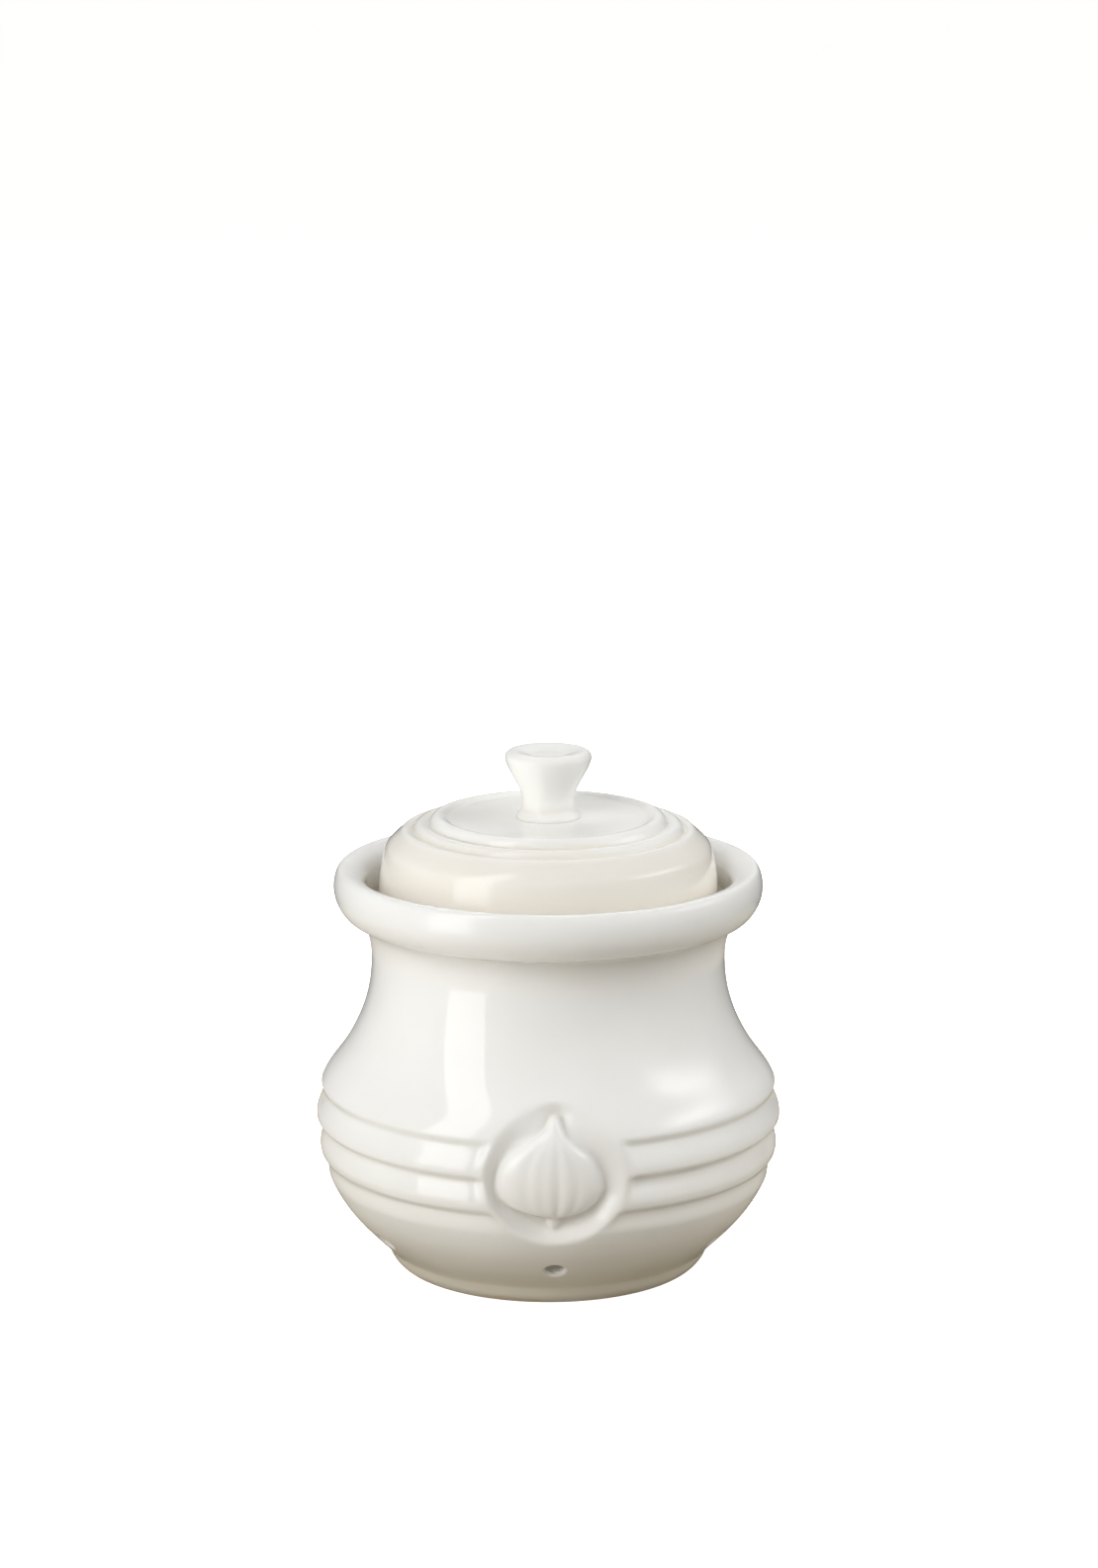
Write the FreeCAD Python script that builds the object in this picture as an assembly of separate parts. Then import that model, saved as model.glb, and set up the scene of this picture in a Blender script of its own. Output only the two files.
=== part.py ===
import FreeCAD, Part
import math
import os
from FreeCAD import Vector

# Garlic keeper: a round-bellied stoneware pot with a rolled rim, two raised ribs, a round
# medallion holding a garlic bulb in relief and a ring of vents above its foot; a ringed
# lid that drops into a gallery inside the rim; and a dished knob luted on the lid.
# Millimetres, +Z up. The origin is on the pot's axis, on the plane that the foot rests on.
# The medallion faces -Y.

# ---- Driving dimensions: the pot --------------------------------------------------------

POT_HEIGHT = 111.0          # resting plane to the top of the rim

FOOT_RADIUS = 40.2          # outer edge of the ring that touches the table
FOOT_HEIGHT = 5.3           # resting plane to the crease above the foot
FOOT_FLARE = 4.0            # how far the foot spreads on its way up to the crease
FOOT_BULGE = 0.75           # how far the foot's side is rounded out
FOOT_LAND = 4.0             # width of the ring that touches the table
FOOT_HOLLOW = 1.8           # depth of the recess under the base
FOOT_EDGE_ROUND = 0.6
FOOT_CREASE_ROUND = 2.0     # hollow curve in the crease above the foot
BASE_THICKNESS = 5.7        # between the recess below and the floor inside

BELLY_RADIUS = 63.5         # widest circle, on the upper rib
BELLY_HEIGHT = 43.0
BELLY_START = 48.0          # degrees from level, the belly's slope where it leaves the foot
BELLY_WALL = 5.2
FLOOR_RADIUS = 31.0         # flat part of the floor inside

WAIST_RISE = 21.0           # from the widest circle to the turn of the S-curve
WAIST_INSET = 9.5           # how far inside the belly radius the S-curve turns
WAIST_LEAN = 28.6           # degrees from upright at that turn

BORE_RADIUS = 42.6          # inside of the neck, which takes the lid's skirt
NECK_WALL = 5.5
NECK_DROP = 14.2            # the lid's seat plane down to the foot of the neck
COVE_WIDTH = 5.0            # how far the hollow under the rim spreads from the neck

SEAT_DEPTH = 10.0           # top of the rim down to the ledge that carries the lid
LEDGE_WIDTH = 6.9           # neck bore to the rim's inner wall
LEDGE_ROUND = 0.8
RIM_WIDTH = 8.8             # thickness of the rolled rim
RIM_CREST_INSET = 2.0       # the roll's crest, in from its widest circle
RIM_CREST_RISE = 5.1        # the roll's crest, up from its widest circle
RIM_INNER_DROP = 4.5        # the roll's crest down to the top of its inner wall
RIM_SIDE_ROUND = 10.2       # radius of the roll below its widest circle
RIM_UNDERCUT = 7.6          # widest circle of the roll down to its lower edge
RIM_STEP = 0.8              # the roll's lower edge down to the top of the cove

# Shares of a curve's rise that its end tangents take
BELLY_HANDLES = (0.243, 0.605)
SHOULDER_HANDLES = (0.543, 0.506)
NECK_HANDLES = (0.452, 0.282)
BOWL_HANDLES = (0.44, 0.56)
COVE_HANDLES = (0.44, 0.62)   # of its rise from the neck, of its width under the rim
RIM_HANDLE = 0.48

# ---- Driving dimensions: the ribs, medallion and vents ----------------------------------

# Height, depth and width of the three grooves, which leave two ribs between them
GROOVES = (
    (48.4, 0.95, 6.4),
    (38.1, 0.95, 5.8),
    (29.4, 0.45, 4.2),
)
GROOVE_ROUND = 2.5          # softening along the grooves' edges

MEDALLION_HEIGHT = 41.4     # height of the medallion's centre
MEDALLION_RADIUS = 16.9
MEDALLION_DEPTH = 2.2
MEDALLION_BORDER = 2.4      # plain wall between the medallion and the ends of the grooves
MEDALLION_LIP_ROUND = 1.3
MEDALLION_FLOOR_ROUND = 1.0

BULB_MARGIN = 2.8           # between the bulb's widest point and the medallion's wall
BULB_RELIEF = 2.3           # how far the bulb stands off the medallion's floor
BULB_CREASES = (-33.0, 4.0, 27.0)        # degrees round the bulb, lines between the cloves
CREASE_DEPTH = 0.5
BULB_EMBED = 0.3            # how far the bulb's outline is sunk below the floor
ROOT_RADIUS = 3.4
ROOT_DROP = 12.8            # the root's centre below the medallion's
ROOT_RELIEF = 0.9

# The bulb's sections from its neck down: height as a share of the medallion's radius,
# half-width as a share of the bulb's, relief as a share of the bulb's
BULB_SECTIONS = (
    (1.03, 0.16, 0.55),
    (0.80, 0.17, 0.62),
    (0.62, 0.36, 0.75),
    (0.42, 0.68, 0.92),
    (0.18, 0.92, 1.00),
    (-0.08, 1.00, 1.00),
    (-0.32, 0.95, 0.92),
    (-0.50, 0.78, 0.70),
    (-0.61, 0.52, 0.40),
    (-0.66, 0.22, 0.10),
)

VENT_COUNT = 6
VENT_DIAMETER = 4.8
VENT_HEIGHT = 12.6
VENT_ROUND = 1.2

# ---- Driving dimensions: the lid --------------------------------------------------------

LID_GAP = 3.6               # rim's inner wall to the lid's side
LID_HEIGHT = 23.4           # seat plane to the flat disc that carries the knob
LID_WALL = 5.0
LID_SIDE_HEIGHT = 15.3      # seat plane to the turn of the shoulder
LID_SIDE_TAPER = 1.5        # how far the side leans in over that height
LID_SIDE_BULGE = 0.35
LID_TURN_ROUND = 3.0        # where the side turns into the shoulder
LID_FOOT_ROUND = 0.5
SKIRT_CLEARANCE = 1.2       # skirt to the neck bore
SKIRT_WALL = 3.4
SKIRT_DEPTH = 6.0           # seat plane down to the skirt's lower edge
SKIRT_ROUND = 1.0

# The lid's turned rings: insets from the lid's outer radius, and drops below the disc
CREASE_INSETS = (18.6, 13.7, 9.0)        # disc to ring, ring to band, band to shoulder
CREASE_DROPS = (0.35, 1.9, 3.7)
DISC_EDGE_WIDTH = 0.9                    # rounded edge of the disc, down to its crease
RING_SWELL = 2.1                         # how far the ring stands out over its creases
BAND_SWELL = 1.6
SHOULDER_CREST = (7.7, 2.7)              # inset and drop of the shoulder's crest
SHOULDER_BREAK = (5.7, 4.0)              # where the crest runs out into the slope

# ---- Driving dimensions: the knob -------------------------------------------------------

KNOB_HEIGHT = 18.6
KNOB_RADIUS = 11.8
KNOB_HEAD_HEIGHT = 15.7     # disc to the knob's widest circle
KNOB_FOOT_RADIUS = 9.0
KNOB_FOOT_HEIGHT = 3.4      # disc to the end of the fillet at the stem's foot
KNOB_STEM_RADIUS = 7.1
KNOB_STEM_HEIGHT = 5.2      # disc to where the stem starts to flare
KNOB_CROWN_RADIUS = 9.3     # crest of the knob's rounded top edge
KNOB_DISH_DEPTH = 1.6
KNOB_DISH_RADIUS = 4.5      # flat middle of the dish

# ---- Places worked out from the driving dimensions --------------------------------------

SEAT_HEIGHT = POT_HEIGHT - SEAT_DEPTH
NECK_RADIUS = BORE_RADIUS + NECK_WALL
NECK_HEIGHT = SEAT_HEIGHT - NECK_DROP
MOUTH_RADIUS = BORE_RADIUS + LEDGE_WIDTH
RIM_RADIUS = MOUTH_RADIUS + RIM_WIDTH
RIM_CREST_RADIUS = RIM_RADIUS - RIM_CREST_INSET
RIM_SIDE_HEIGHT = POT_HEIGHT - RIM_CREST_RISE
FLOOR_HEIGHT = FOOT_HOLLOW + BASE_THICKNESS
FOOT_CREASE_RADIUS = FOOT_RADIUS + FOOT_FLARE

LID_RADIUS = MOUTH_RADIUS - LID_GAP
SKIRT_RADIUS = BORE_RADIUS - SKIRT_CLEARANCE
DISC_HEIGHT = SEAT_HEIGHT + LID_HEIGHT

Z_AXIS = Vector(0, 0, 1)
FRONT = Vector(0, -1, 0)
SIDEWAYS = Vector(1, 0, 0)
CENTRE = Vector(0, 0, 0)
FRONT_ANGLE = -90.0         # degrees round the Z axis from +X


# ---- Profile helpers --------------------------------------------------------------------

def at(radius, height):
    """A point of a turned profile, drawn in the XZ plane."""
    return Vector(radius, 0, height)


def heading(degrees, length):
    """A step of the given length, its direction measured up from level."""
    angle = math.radians(degrees)
    return at(length * math.cos(angle), length * math.sin(angle))


def line(start, end):
    return Part.LineSegment(start, end).toShape()


def bezier(*poles):
    curve = Part.BezierCurve()
    curve.setPoles(list(poles))
    return curve.toShape()


def bulged(start, end, bulge):
    """An arc that stands off its chord by the bulge, to the right of start to end."""
    chord = end - start
    side = Vector(chord.z, 0, -chord.x)
    side.normalize()
    return Part.Arc(start, (start + end) * 0.5 + side * bulge, end).toShape()


def round_arc(centre, radius, start_degrees, end_degrees):
    """A circular arc between two directions measured up from level."""
    middle_degrees = (start_degrees + end_degrees) / 2
    points = [centre + heading(degrees, radius)
              for degrees in (start_degrees, middle_degrees, end_degrees)]
    return Part.Arc(*points).toShape()


def profile_face(edges):
    return Part.Face(Part.Wire(Part.__sortEdges__(edges)))


def turned(edges):
    """The solid made by turning a closed profile once round the Z axis."""
    return profile_face(edges).revolve(CENTRE, Z_AXIS, 360)


def circle_edges(solid, circle_radius, height):
    """The solid's level edges that lie on one circle round the Z axis."""
    found = []
    for edge in solid.Edges:
        start = edge.firstVertex().Point
        level = isinstance(edge.Curve, Part.Circle) and abs(start.z - height) < 0.01
        if level and abs(math.hypot(start.x, start.y) - circle_radius) < 0.01:
            found.append(edge)
    return found


# ---- The pot's turned form --------------------------------------------------------------

def belly_curve(inset=0.0):
    """From the foot's crease to the widest circle."""
    rise = BELLY_HEIGHT - FOOT_HEIGHT
    crease = at(FOOT_CREASE_RADIUS, FOOT_HEIGHT) - heading(BELLY_START - 90, inset)
    crest = at(BELLY_RADIUS - inset, BELLY_HEIGHT)
    first = crease + heading(BELLY_START, BELLY_HANDLES[0] * rise)
    second = crest - at(0, BELLY_HANDLES[1] * rise)
    return bezier(crease, first, second, crest)


def waist_point(inset):
    return at(BELLY_RADIUS - WAIST_INSET, BELLY_HEIGHT + WAIST_RISE) - heading(WAIST_LEAN, inset)


def shoulder_curve(inset=0.0):
    """From the widest circle up to the turn of the S-curve."""
    crest = at(BELLY_RADIUS - inset, BELLY_HEIGHT)
    waist = waist_point(inset)
    first = crest + at(0, SHOULDER_HANDLES[0] * WAIST_RISE)
    second = waist - heading(90 + WAIST_LEAN, SHOULDER_HANDLES[1] * WAIST_RISE)
    return bezier(crest, first, second, waist)


def neck_curve(inset=0.0):
    """From the turn of the S-curve up to the straight neck."""
    waist = waist_point(inset)
    neck = at(NECK_RADIUS - inset, NECK_HEIGHT)
    rise = NECK_HEIGHT - BELLY_HEIGHT - WAIST_RISE
    first = waist + heading(90 + WAIST_LEAN, NECK_HANDLES[0] * rise)
    second = neck - at(0, NECK_HANDLES[1] * rise)
    return bezier(waist, first, second, neck)


def belly_place(height):
    """The outside's point and outward direction at one height, in the XZ plane."""
    curves = [edge.Curve for edge in (belly_curve(), shoulder_curve(), neck_curve())]
    reached = [curve for curve in curves if curve.StartPoint.z <= height]
    curve = reached[-1]
    low, high = 0.0, 1.0
    while high - low > 1e-9:
        middle = (low + high) / 2
        if curve.value(middle).z < height:
            low = middle
        else:
            high = middle
    along = curve.tangent(low)[0]
    return curve.value(low), Vector(along.z, 0, -along.x)


def inside_edges():
    """The bowl, the bore, the ledge and the rim's inner side, from the axis upwards."""
    floor_edge = at(FLOOR_RADIUS, FLOOR_HEIGHT)
    crest = at(BELLY_RADIUS - BELLY_WALL, BELLY_HEIGHT)
    reach = BOWL_HANDLES[0] * (crest.x - floor_edge.x)
    rise = BOWL_HANDLES[1] * (crest.z - floor_edge.z)
    mouth_top = at(MOUTH_RADIUS, POT_HEIGHT - RIM_INNER_DROP)
    return [
        line(at(0, FLOOR_HEIGHT), floor_edge),
        bezier(floor_edge, floor_edge + at(reach, 0), crest - at(0, rise), crest),
        shoulder_curve(BELLY_WALL),
        bore_curve(),
        line(at(BORE_RADIUS, NECK_HEIGHT), at(BORE_RADIUS, SEAT_HEIGHT)),
        line(at(BORE_RADIUS, SEAT_HEIGHT), at(MOUTH_RADIUS, SEAT_HEIGHT)),
        line(at(MOUTH_RADIUS, SEAT_HEIGHT), mouth_top),
        rim_quarter(mouth_top),
    ]


def rim_quarter(side):
    """A rounded quarter of the rolled rim, from a point with an upright tangent to the crest."""
    crest = at(RIM_CREST_RADIUS, POT_HEIGHT)
    rise = RIM_HANDLE * (crest.z - side.z)
    reach = RIM_HANDLE * (crest.x - side.x)
    return bezier(side, side + at(0, rise), crest - at(reach, 0), crest)


def bore_curve():
    """The inner side of the neck curve, which ends on the bore."""
    waist = waist_point(BELLY_WALL)
    neck = at(BORE_RADIUS, NECK_HEIGHT)
    rise = neck.z - waist.z
    first = waist + heading(90 + WAIST_LEAN, NECK_HANDLES[0] * rise)
    second = neck - at(0, NECK_HANDLES[1] * rise)
    return bezier(waist, first, second, neck)


def outside_edges():
    """The rolled rim, the cove, the neck and the belly, from the rim down to the crease."""
    roll_end = -math.degrees(math.asin(RIM_UNDERCUT / RIM_SIDE_ROUND))
    side_centre = at(RIM_RADIUS - RIM_SIDE_ROUND, RIM_SIDE_HEIGHT)
    roll_edge = side_centre + heading(roll_end, RIM_SIDE_ROUND)
    neck = at(NECK_RADIUS, NECK_HEIGHT)
    cove_top = at(NECK_RADIUS + COVE_WIDTH, roll_edge.z - RIM_STEP)
    cove_rise = COVE_HANDLES[0] * (cove_top.z - neck.z)
    cove_reach = COVE_HANDLES[1] * COVE_WIDTH
    return [
        rim_quarter(at(RIM_RADIUS, RIM_SIDE_HEIGHT)),
        round_arc(side_centre, RIM_SIDE_ROUND, 0, roll_end),
        line(roll_edge, cove_top),
        bezier(neck, neck + at(0, cove_rise), cove_top - at(cove_reach, 0), cove_top),
        neck_curve(),
        shoulder_curve(),
        belly_curve(),
    ]


def foot_edges():
    """The foot's side, the resting ring and the recess, back to the axis."""
    crease = at(FOOT_CREASE_RADIUS, FOOT_HEIGHT)
    outer = at(FOOT_RADIUS, 0)
    inner = at(FOOT_RADIUS - FOOT_LAND, 0)
    recess = at(FOOT_RADIUS - FOOT_LAND - FOOT_HOLLOW, FOOT_HOLLOW)
    return [
        bulged(outer, crease, FOOT_BULGE),
        line(outer, inner),
        line(inner, recess),
        line(recess, at(0, FOOT_HOLLOW)),
        line(at(0, FOOT_HOLLOW), at(0, FLOOR_HEIGHT)),
    ]


def groove_circle(height, depth, width):
    """Centre and radius of the circle that cuts one groove into the turned profile."""
    radius = width ** 2 / (8 * depth) + depth / 2
    surface, outward = belly_place(height)
    return surface + outward * (radius - depth), radius


def turned_pot():
    """The turned body: grooved all round, but for a plain front that the grooves run out in."""
    profile = profile_face(inside_edges() + outside_edges() + foot_edges())
    circles = [groove_circle(*groove) for groove in GROOVES]
    discs = [Part.Face(Part.Wire(Part.makeCircle(radius, centre, FRONT)))
             for centre, radius in circles]
    grooved_profile = profile.cut(discs).Faces[0]
    widest_groove = max(width for height, depth, width in GROOVES)
    plain_half = MEDALLION_RADIUS + MEDALLION_BORDER + widest_groove / 2
    plain_angle = math.degrees(math.asin(plain_half / BELLY_RADIUS))
    back = grooved_profile.revolve(CENTRE, Z_AXIS, 360 - 2 * plain_angle)
    back.rotate(CENTRE, Z_AXIS, FRONT_ANGLE + plain_angle)
    front = profile.revolve(CENTRE, Z_AXIS, 2 * plain_angle)
    front.rotate(CENTRE, Z_AXIS, FRONT_ANGLE - plain_angle)
    for centre, radius in circles:
        for side in (-1, 1):
            groove_end = Part.makeSphere(radius, centre)
            groove_end.rotate(CENTRE, Z_AXIS, FRONT_ANGLE + side * plain_angle)
            front = front.cut(groove_end)
    return front.fuse(back).removeSplitter()


def groove_edges(pot):
    """The outlines of the grooves: edges that border one groove face only."""
    radii = [groove_circle(*groove)[1] for groove in GROOVES]
    edges = []
    for face in pot.Faces:
        surface = face.Surface
        if isinstance(surface, Part.Toroid):
            section_radius = surface.MinorRadius
        elif isinstance(surface, Part.Sphere):
            section_radius = surface.Radius
        else:
            continue
        if any(abs(section_radius - radius) < 1e-6 for radius in radii):
            edges += face.Edges
    return [edge for edge in edges if sum(edge.isSame(other) for other in edges) == 1]


def round_turned_edges(pot):
    pot = pot.makeFillet(GROOVE_ROUND, groove_edges(pot))
    ledge = circle_edges(pot, BORE_RADIUS, SEAT_HEIGHT) + circle_edges(pot, MOUTH_RADIUS, SEAT_HEIGHT)
    pot = pot.makeFillet(LEDGE_ROUND, ledge)
    foot = circle_edges(pot, FOOT_RADIUS, 0) + circle_edges(pot, FOOT_RADIUS - FOOT_LAND, 0)
    pot = pot.makeFillet(FOOT_EDGE_ROUND, foot)
    return pot.makeFillet(FOOT_CREASE_ROUND, circle_edges(pot, FOOT_CREASE_RADIUS, FOOT_HEIGHT))


# ---- The medallion ----------------------------------------------------------------------

def medallion_floor():
    """The turned form whose front is the medallion's floor."""
    curves = [belly_curve(MEDALLION_DEPTH), shoulder_curve(MEDALLION_DEPTH)]
    curves.append(neck_curve(MEDALLION_DEPTH))
    low = curves[0].Curve.StartPoint
    high = curves[-1].Curve.EndPoint
    ends = [line(at(0, low.z), low), line(high, at(0, high.z)), line(at(0, high.z), at(0, low.z))]
    return turned(Part.__sortEdges__(curves + ends))


def medallion_edges(pot, inset):
    """The edges where the medallion's wall meets the form at the given inset."""
    found = []
    for edge in pot.Edges:
        points = edge.discretize(5)
        on_wall = all(abs(math.hypot(p.x, p.z - MEDALLION_HEIGHT) - MEDALLION_RADIUS) < 0.01
                      for p in points)
        middle = points[2]
        outside = belly_place(middle.z)[0].x if on_wall else 0.0
        if on_wall and abs(outside - math.hypot(middle.x, middle.y) - inset) < 0.5:
            found.append(edge)
    return found


def cut_medallion(pot):
    middle = Vector(0, 0, MEDALLION_HEIGHT)
    drum = Part.makeCylinder(MEDALLION_RADIUS, BELLY_RADIUS + 5, middle, FRONT)
    pot = pot.cut(drum.cut(medallion_floor()))
    pot = pot.makeFillet(MEDALLION_FLOOR_ROUND, medallion_edges(pot, MEDALLION_DEPTH))
    return pot.makeFillet(MEDALLION_LIP_ROUND, medallion_edges(pot, 0.0))


def bulb_section(height_share, width_share, relief_share):
    """One level outline of the bulb: cloves as arcs in front, a straight back in the wall."""
    height = MEDALLION_HEIGHT + height_share * MEDALLION_RADIUS
    half_width = width_share * (MEDALLION_RADIUS - BULB_MARGIN)
    floor = belly_place(height)[0].x - MEDALLION_DEPTH
    edge_depth = math.sqrt(floor ** 2 - half_width ** 2) - BULB_EMBED
    front_depth = floor + relief_share * BULB_RELIEF - edge_depth
    crease_share = 1 - relief_share * CREASE_DEPTH / front_depth

    def front(degrees, share):
        angle = math.radians(degrees)
        across = share * half_width * math.sin(angle)
        return Vector(across, -edge_depth - share * front_depth * math.cos(angle), height)

    stops = (-90.0,) + BULB_CREASES + (90.0,)
    corners = [front(stops[0], 1)]
    corners += [front(crease, crease_share) for crease in BULB_CREASES]
    corners.append(front(stops[-1], 1))
    edges = []
    for index in range(len(stops) - 1):
        crown = front((stops[index] + stops[index + 1]) / 2, 1)
        edges.append(Part.Arc(corners[index], crown, corners[index + 1]).toShape())
    edges.append(line(corners[-1], corners[0]))
    return Part.Wire(edges)


def garlic_bulb():
    bulb = Part.makeLoft([bulb_section(*section) for section in BULB_SECTIONS], True, False)
    root_height = MEDALLION_HEIGHT - ROOT_DROP
    floor = belly_place(root_height)[0].x - MEDALLION_DEPTH
    depth = floor + ROOT_RELIEF - ROOT_RADIUS
    root = Part.makeSphere(ROOT_RADIUS, Vector(0, -depth, root_height), SIDEWAYS)
    return bulb.fuse(root)


# ---- The vents --------------------------------------------------------------------------

def cut_vents(pot):
    """Drills the vents square to the wall and rounds their outer edges."""
    surface, outward = belly_place(VENT_HEIGHT)
    length = 4 * BELLY_WALL
    drill = Part.makeCylinder(VENT_DIAMETER / 2, length, surface - outward * length / 2, outward)
    mouths = []
    for index in range(VENT_COUNT):
        angle = FRONT_ANGLE + index * 360 / VENT_COUNT
        pot = pot.cut(drill.rotated(CENTRE, Z_AXIS, angle))
        mouths.append(Part.Vertex(surface).rotated(CENTRE, Z_AXIS, angle))
    rims = [edge for edge in pot.Edges
            if any(edge.distToShape(mouth)[0] < VENT_DIAMETER * 0.55 for mouth in mouths)]
    return pot.makeFillet(VENT_ROUND, rims)


def make_pot():
    pot = cut_vents(round_turned_edges(turned_pot()))
    return cut_medallion(pot).fuse(garlic_bulb())


# ---- The lid ----------------------------------------------------------------------------

def lid_top_edges():
    """The disc, the ring, the band and the shoulder, from the axis to the lid's side."""
    def place(inset, drop):
        return at(LID_RADIUS - inset, DISC_HEIGHT - drop)

    creases = [place(inset, drop) for inset, drop in zip(CREASE_INSETS, CREASE_DROPS)]
    disc_edge = place(CREASE_INSETS[0] + DISC_EDGE_WIDTH, 0)
    slope_start = place(*SHOULDER_BREAK)
    turn = at(LID_RADIUS - LID_SIDE_TAPER, SEAT_HEIGHT + LID_SIDE_HEIGHT)
    foot_centre = at(LID_RADIUS - LID_FOOT_ROUND, SEAT_HEIGHT + LID_FOOT_ROUND)
    return [
        line(at(0, DISC_HEIGHT), disc_edge),
        bezier(disc_edge, disc_edge + at(DISC_EDGE_WIDTH / 2, 0), creases[0]),
        bulged(creases[1], creases[0], RING_SWELL),
        bulged(creases[2], creases[1], BAND_SWELL),
        Part.Arc(creases[2], place(*SHOULDER_CREST), slope_start).toShape(),
        line(slope_start, turn),
        bulged(at(LID_RADIUS, foot_centre.z), turn, LID_SIDE_BULGE),
        round_arc(foot_centre, LID_FOOT_ROUND, 0, -90),
    ]


def lid_under_edges():
    """The flange that rests on the ledge, the skirt and the hollow, back to the axis."""
    skirt_low = SEAT_HEIGHT - SKIRT_DEPTH
    skirt_inner = SKIRT_RADIUS - SKIRT_WALL
    side_inner = LID_RADIUS - LID_WALL
    ceiling = DISC_HEIGHT - LID_WALL
    ceiling_edge = at(LID_RADIUS - CREASE_INSETS[0] - LID_WALL, ceiling)
    side_foot = at(side_inner, SEAT_HEIGHT + LID_WALL)
    skirt_top = at(skirt_inner, SEAT_HEIGHT - LID_FOOT_ROUND)
    side_reach = (ceiling - side_foot.z) * 0.7
    skirt_reach = (side_foot.z - skirt_top.z) / 2
    return [
        line(at(LID_RADIUS - LID_FOOT_ROUND, SEAT_HEIGHT), at(SKIRT_RADIUS, SEAT_HEIGHT)),
        line(at(SKIRT_RADIUS, SEAT_HEIGHT), at(SKIRT_RADIUS, skirt_low)),
        line(at(SKIRT_RADIUS, skirt_low), at(skirt_inner, skirt_low)),
        line(at(skirt_inner, skirt_low), skirt_top),
        bezier(skirt_top, skirt_top + at(0, skirt_reach), side_foot - at(0, skirt_reach), side_foot),
        bezier(side_foot, side_foot + at(0, side_reach),
               at((ceiling_edge.x + side_inner) / 2, ceiling), ceiling_edge),
        line(ceiling_edge, at(0, ceiling)),
        line(at(0, ceiling), at(0, DISC_HEIGHT)),
    ]


def make_lid():
    lid = turned(Part.__sortEdges__(lid_top_edges() + lid_under_edges()))
    turn = (LID_RADIUS - LID_SIDE_TAPER, SEAT_HEIGHT + LID_SIDE_HEIGHT)
    lid = lid.makeFillet(LID_TURN_ROUND, circle_edges(lid, *turn))
    skirt_low = SEAT_HEIGHT - SKIRT_DEPTH
    skirt_edges = circle_edges(lid, SKIRT_RADIUS, skirt_low)
    skirt_edges += circle_edges(lid, SKIRT_RADIUS - SKIRT_WALL, skirt_low)
    return lid.makeFillet(SKIRT_ROUND, skirt_edges)


# ---- The knob ---------------------------------------------------------------------------

def make_knob():
    def up(radius, rise):
        return at(radius, DISC_HEIGHT + rise)

    head_rise = KNOB_HEAD_HEIGHT - KNOB_STEM_HEIGHT
    crown_rise = KNOB_HEIGHT - KNOB_HEAD_HEIGHT
    stem = up(KNOB_STEM_RADIUS, KNOB_STEM_HEIGHT)
    head = up(KNOB_RADIUS, KNOB_HEAD_HEIGHT)
    crown = up(KNOB_CROWN_RADIUS, KNOB_HEIGHT)
    dish = up(KNOB_DISH_RADIUS, KNOB_HEIGHT - KNOB_DISH_DEPTH)
    crown_reach = (KNOB_RADIUS - KNOB_CROWN_RADIUS) * 0.6
    dish_reach = (KNOB_CROWN_RADIUS - KNOB_DISH_RADIUS) * 0.4
    head_corner = head - at(KNOB_RADIUS * 0.05, head_rise * 0.3)
    return turned(Part.__sortEdges__([
        line(up(0, 0), up(KNOB_FOOT_RADIUS, 0)),
        bezier(up(KNOB_FOOT_RADIUS, 0), up(KNOB_STEM_RADIUS, KNOB_FOOT_HEIGHT * 0.3),
               up(KNOB_STEM_RADIUS, KNOB_FOOT_HEIGHT)),
        line(up(KNOB_STEM_RADIUS, KNOB_FOOT_HEIGHT), stem),
        bezier(stem, stem + at(0, head_rise * 0.28), head_corner, head),
        bezier(head, head + at(0, crown_rise * 0.6), crown + at(crown_reach, 0), crown),
        bezier(crown, crown - at(dish_reach, 0), dish + at(dish_reach, 0), dish),
        line(dish, up(0, KNOB_HEIGHT - KNOB_DISH_DEPTH)),
        line(up(0, KNOB_HEIGHT - KNOB_DISH_DEPTH), up(0, 0)),
    ]))


# ---- Export -----------------------------------------------------------------------------

os.makedirs("parts", exist_ok=True)
for name, solid in (("pot", make_pot()), ("lid", make_lid()), ("knob", make_knob())):
    solid.exportStep("parts/%s.step" % name)
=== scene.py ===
import math
import bpy
import numpy as np
from mathutils import Euler, Matrix, Vector


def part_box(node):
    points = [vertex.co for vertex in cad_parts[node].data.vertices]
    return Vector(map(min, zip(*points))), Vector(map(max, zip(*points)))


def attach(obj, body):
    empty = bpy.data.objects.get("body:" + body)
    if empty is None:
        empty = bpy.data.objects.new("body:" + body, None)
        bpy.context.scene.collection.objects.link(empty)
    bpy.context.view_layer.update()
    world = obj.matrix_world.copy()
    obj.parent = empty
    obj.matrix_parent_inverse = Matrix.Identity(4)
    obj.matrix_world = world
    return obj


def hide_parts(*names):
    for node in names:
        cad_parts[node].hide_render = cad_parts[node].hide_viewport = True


# A stoneware garlic keeper: the belly pot with its stepped ribs, its medallion and its ring of
# vents, the ringed lid in the pot's gallery, and the dished knob on the lid.
# Outlines are drawn in millimetres as (radius, height) and turned about the Z axis.
# The medallion faces -Y.

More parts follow.
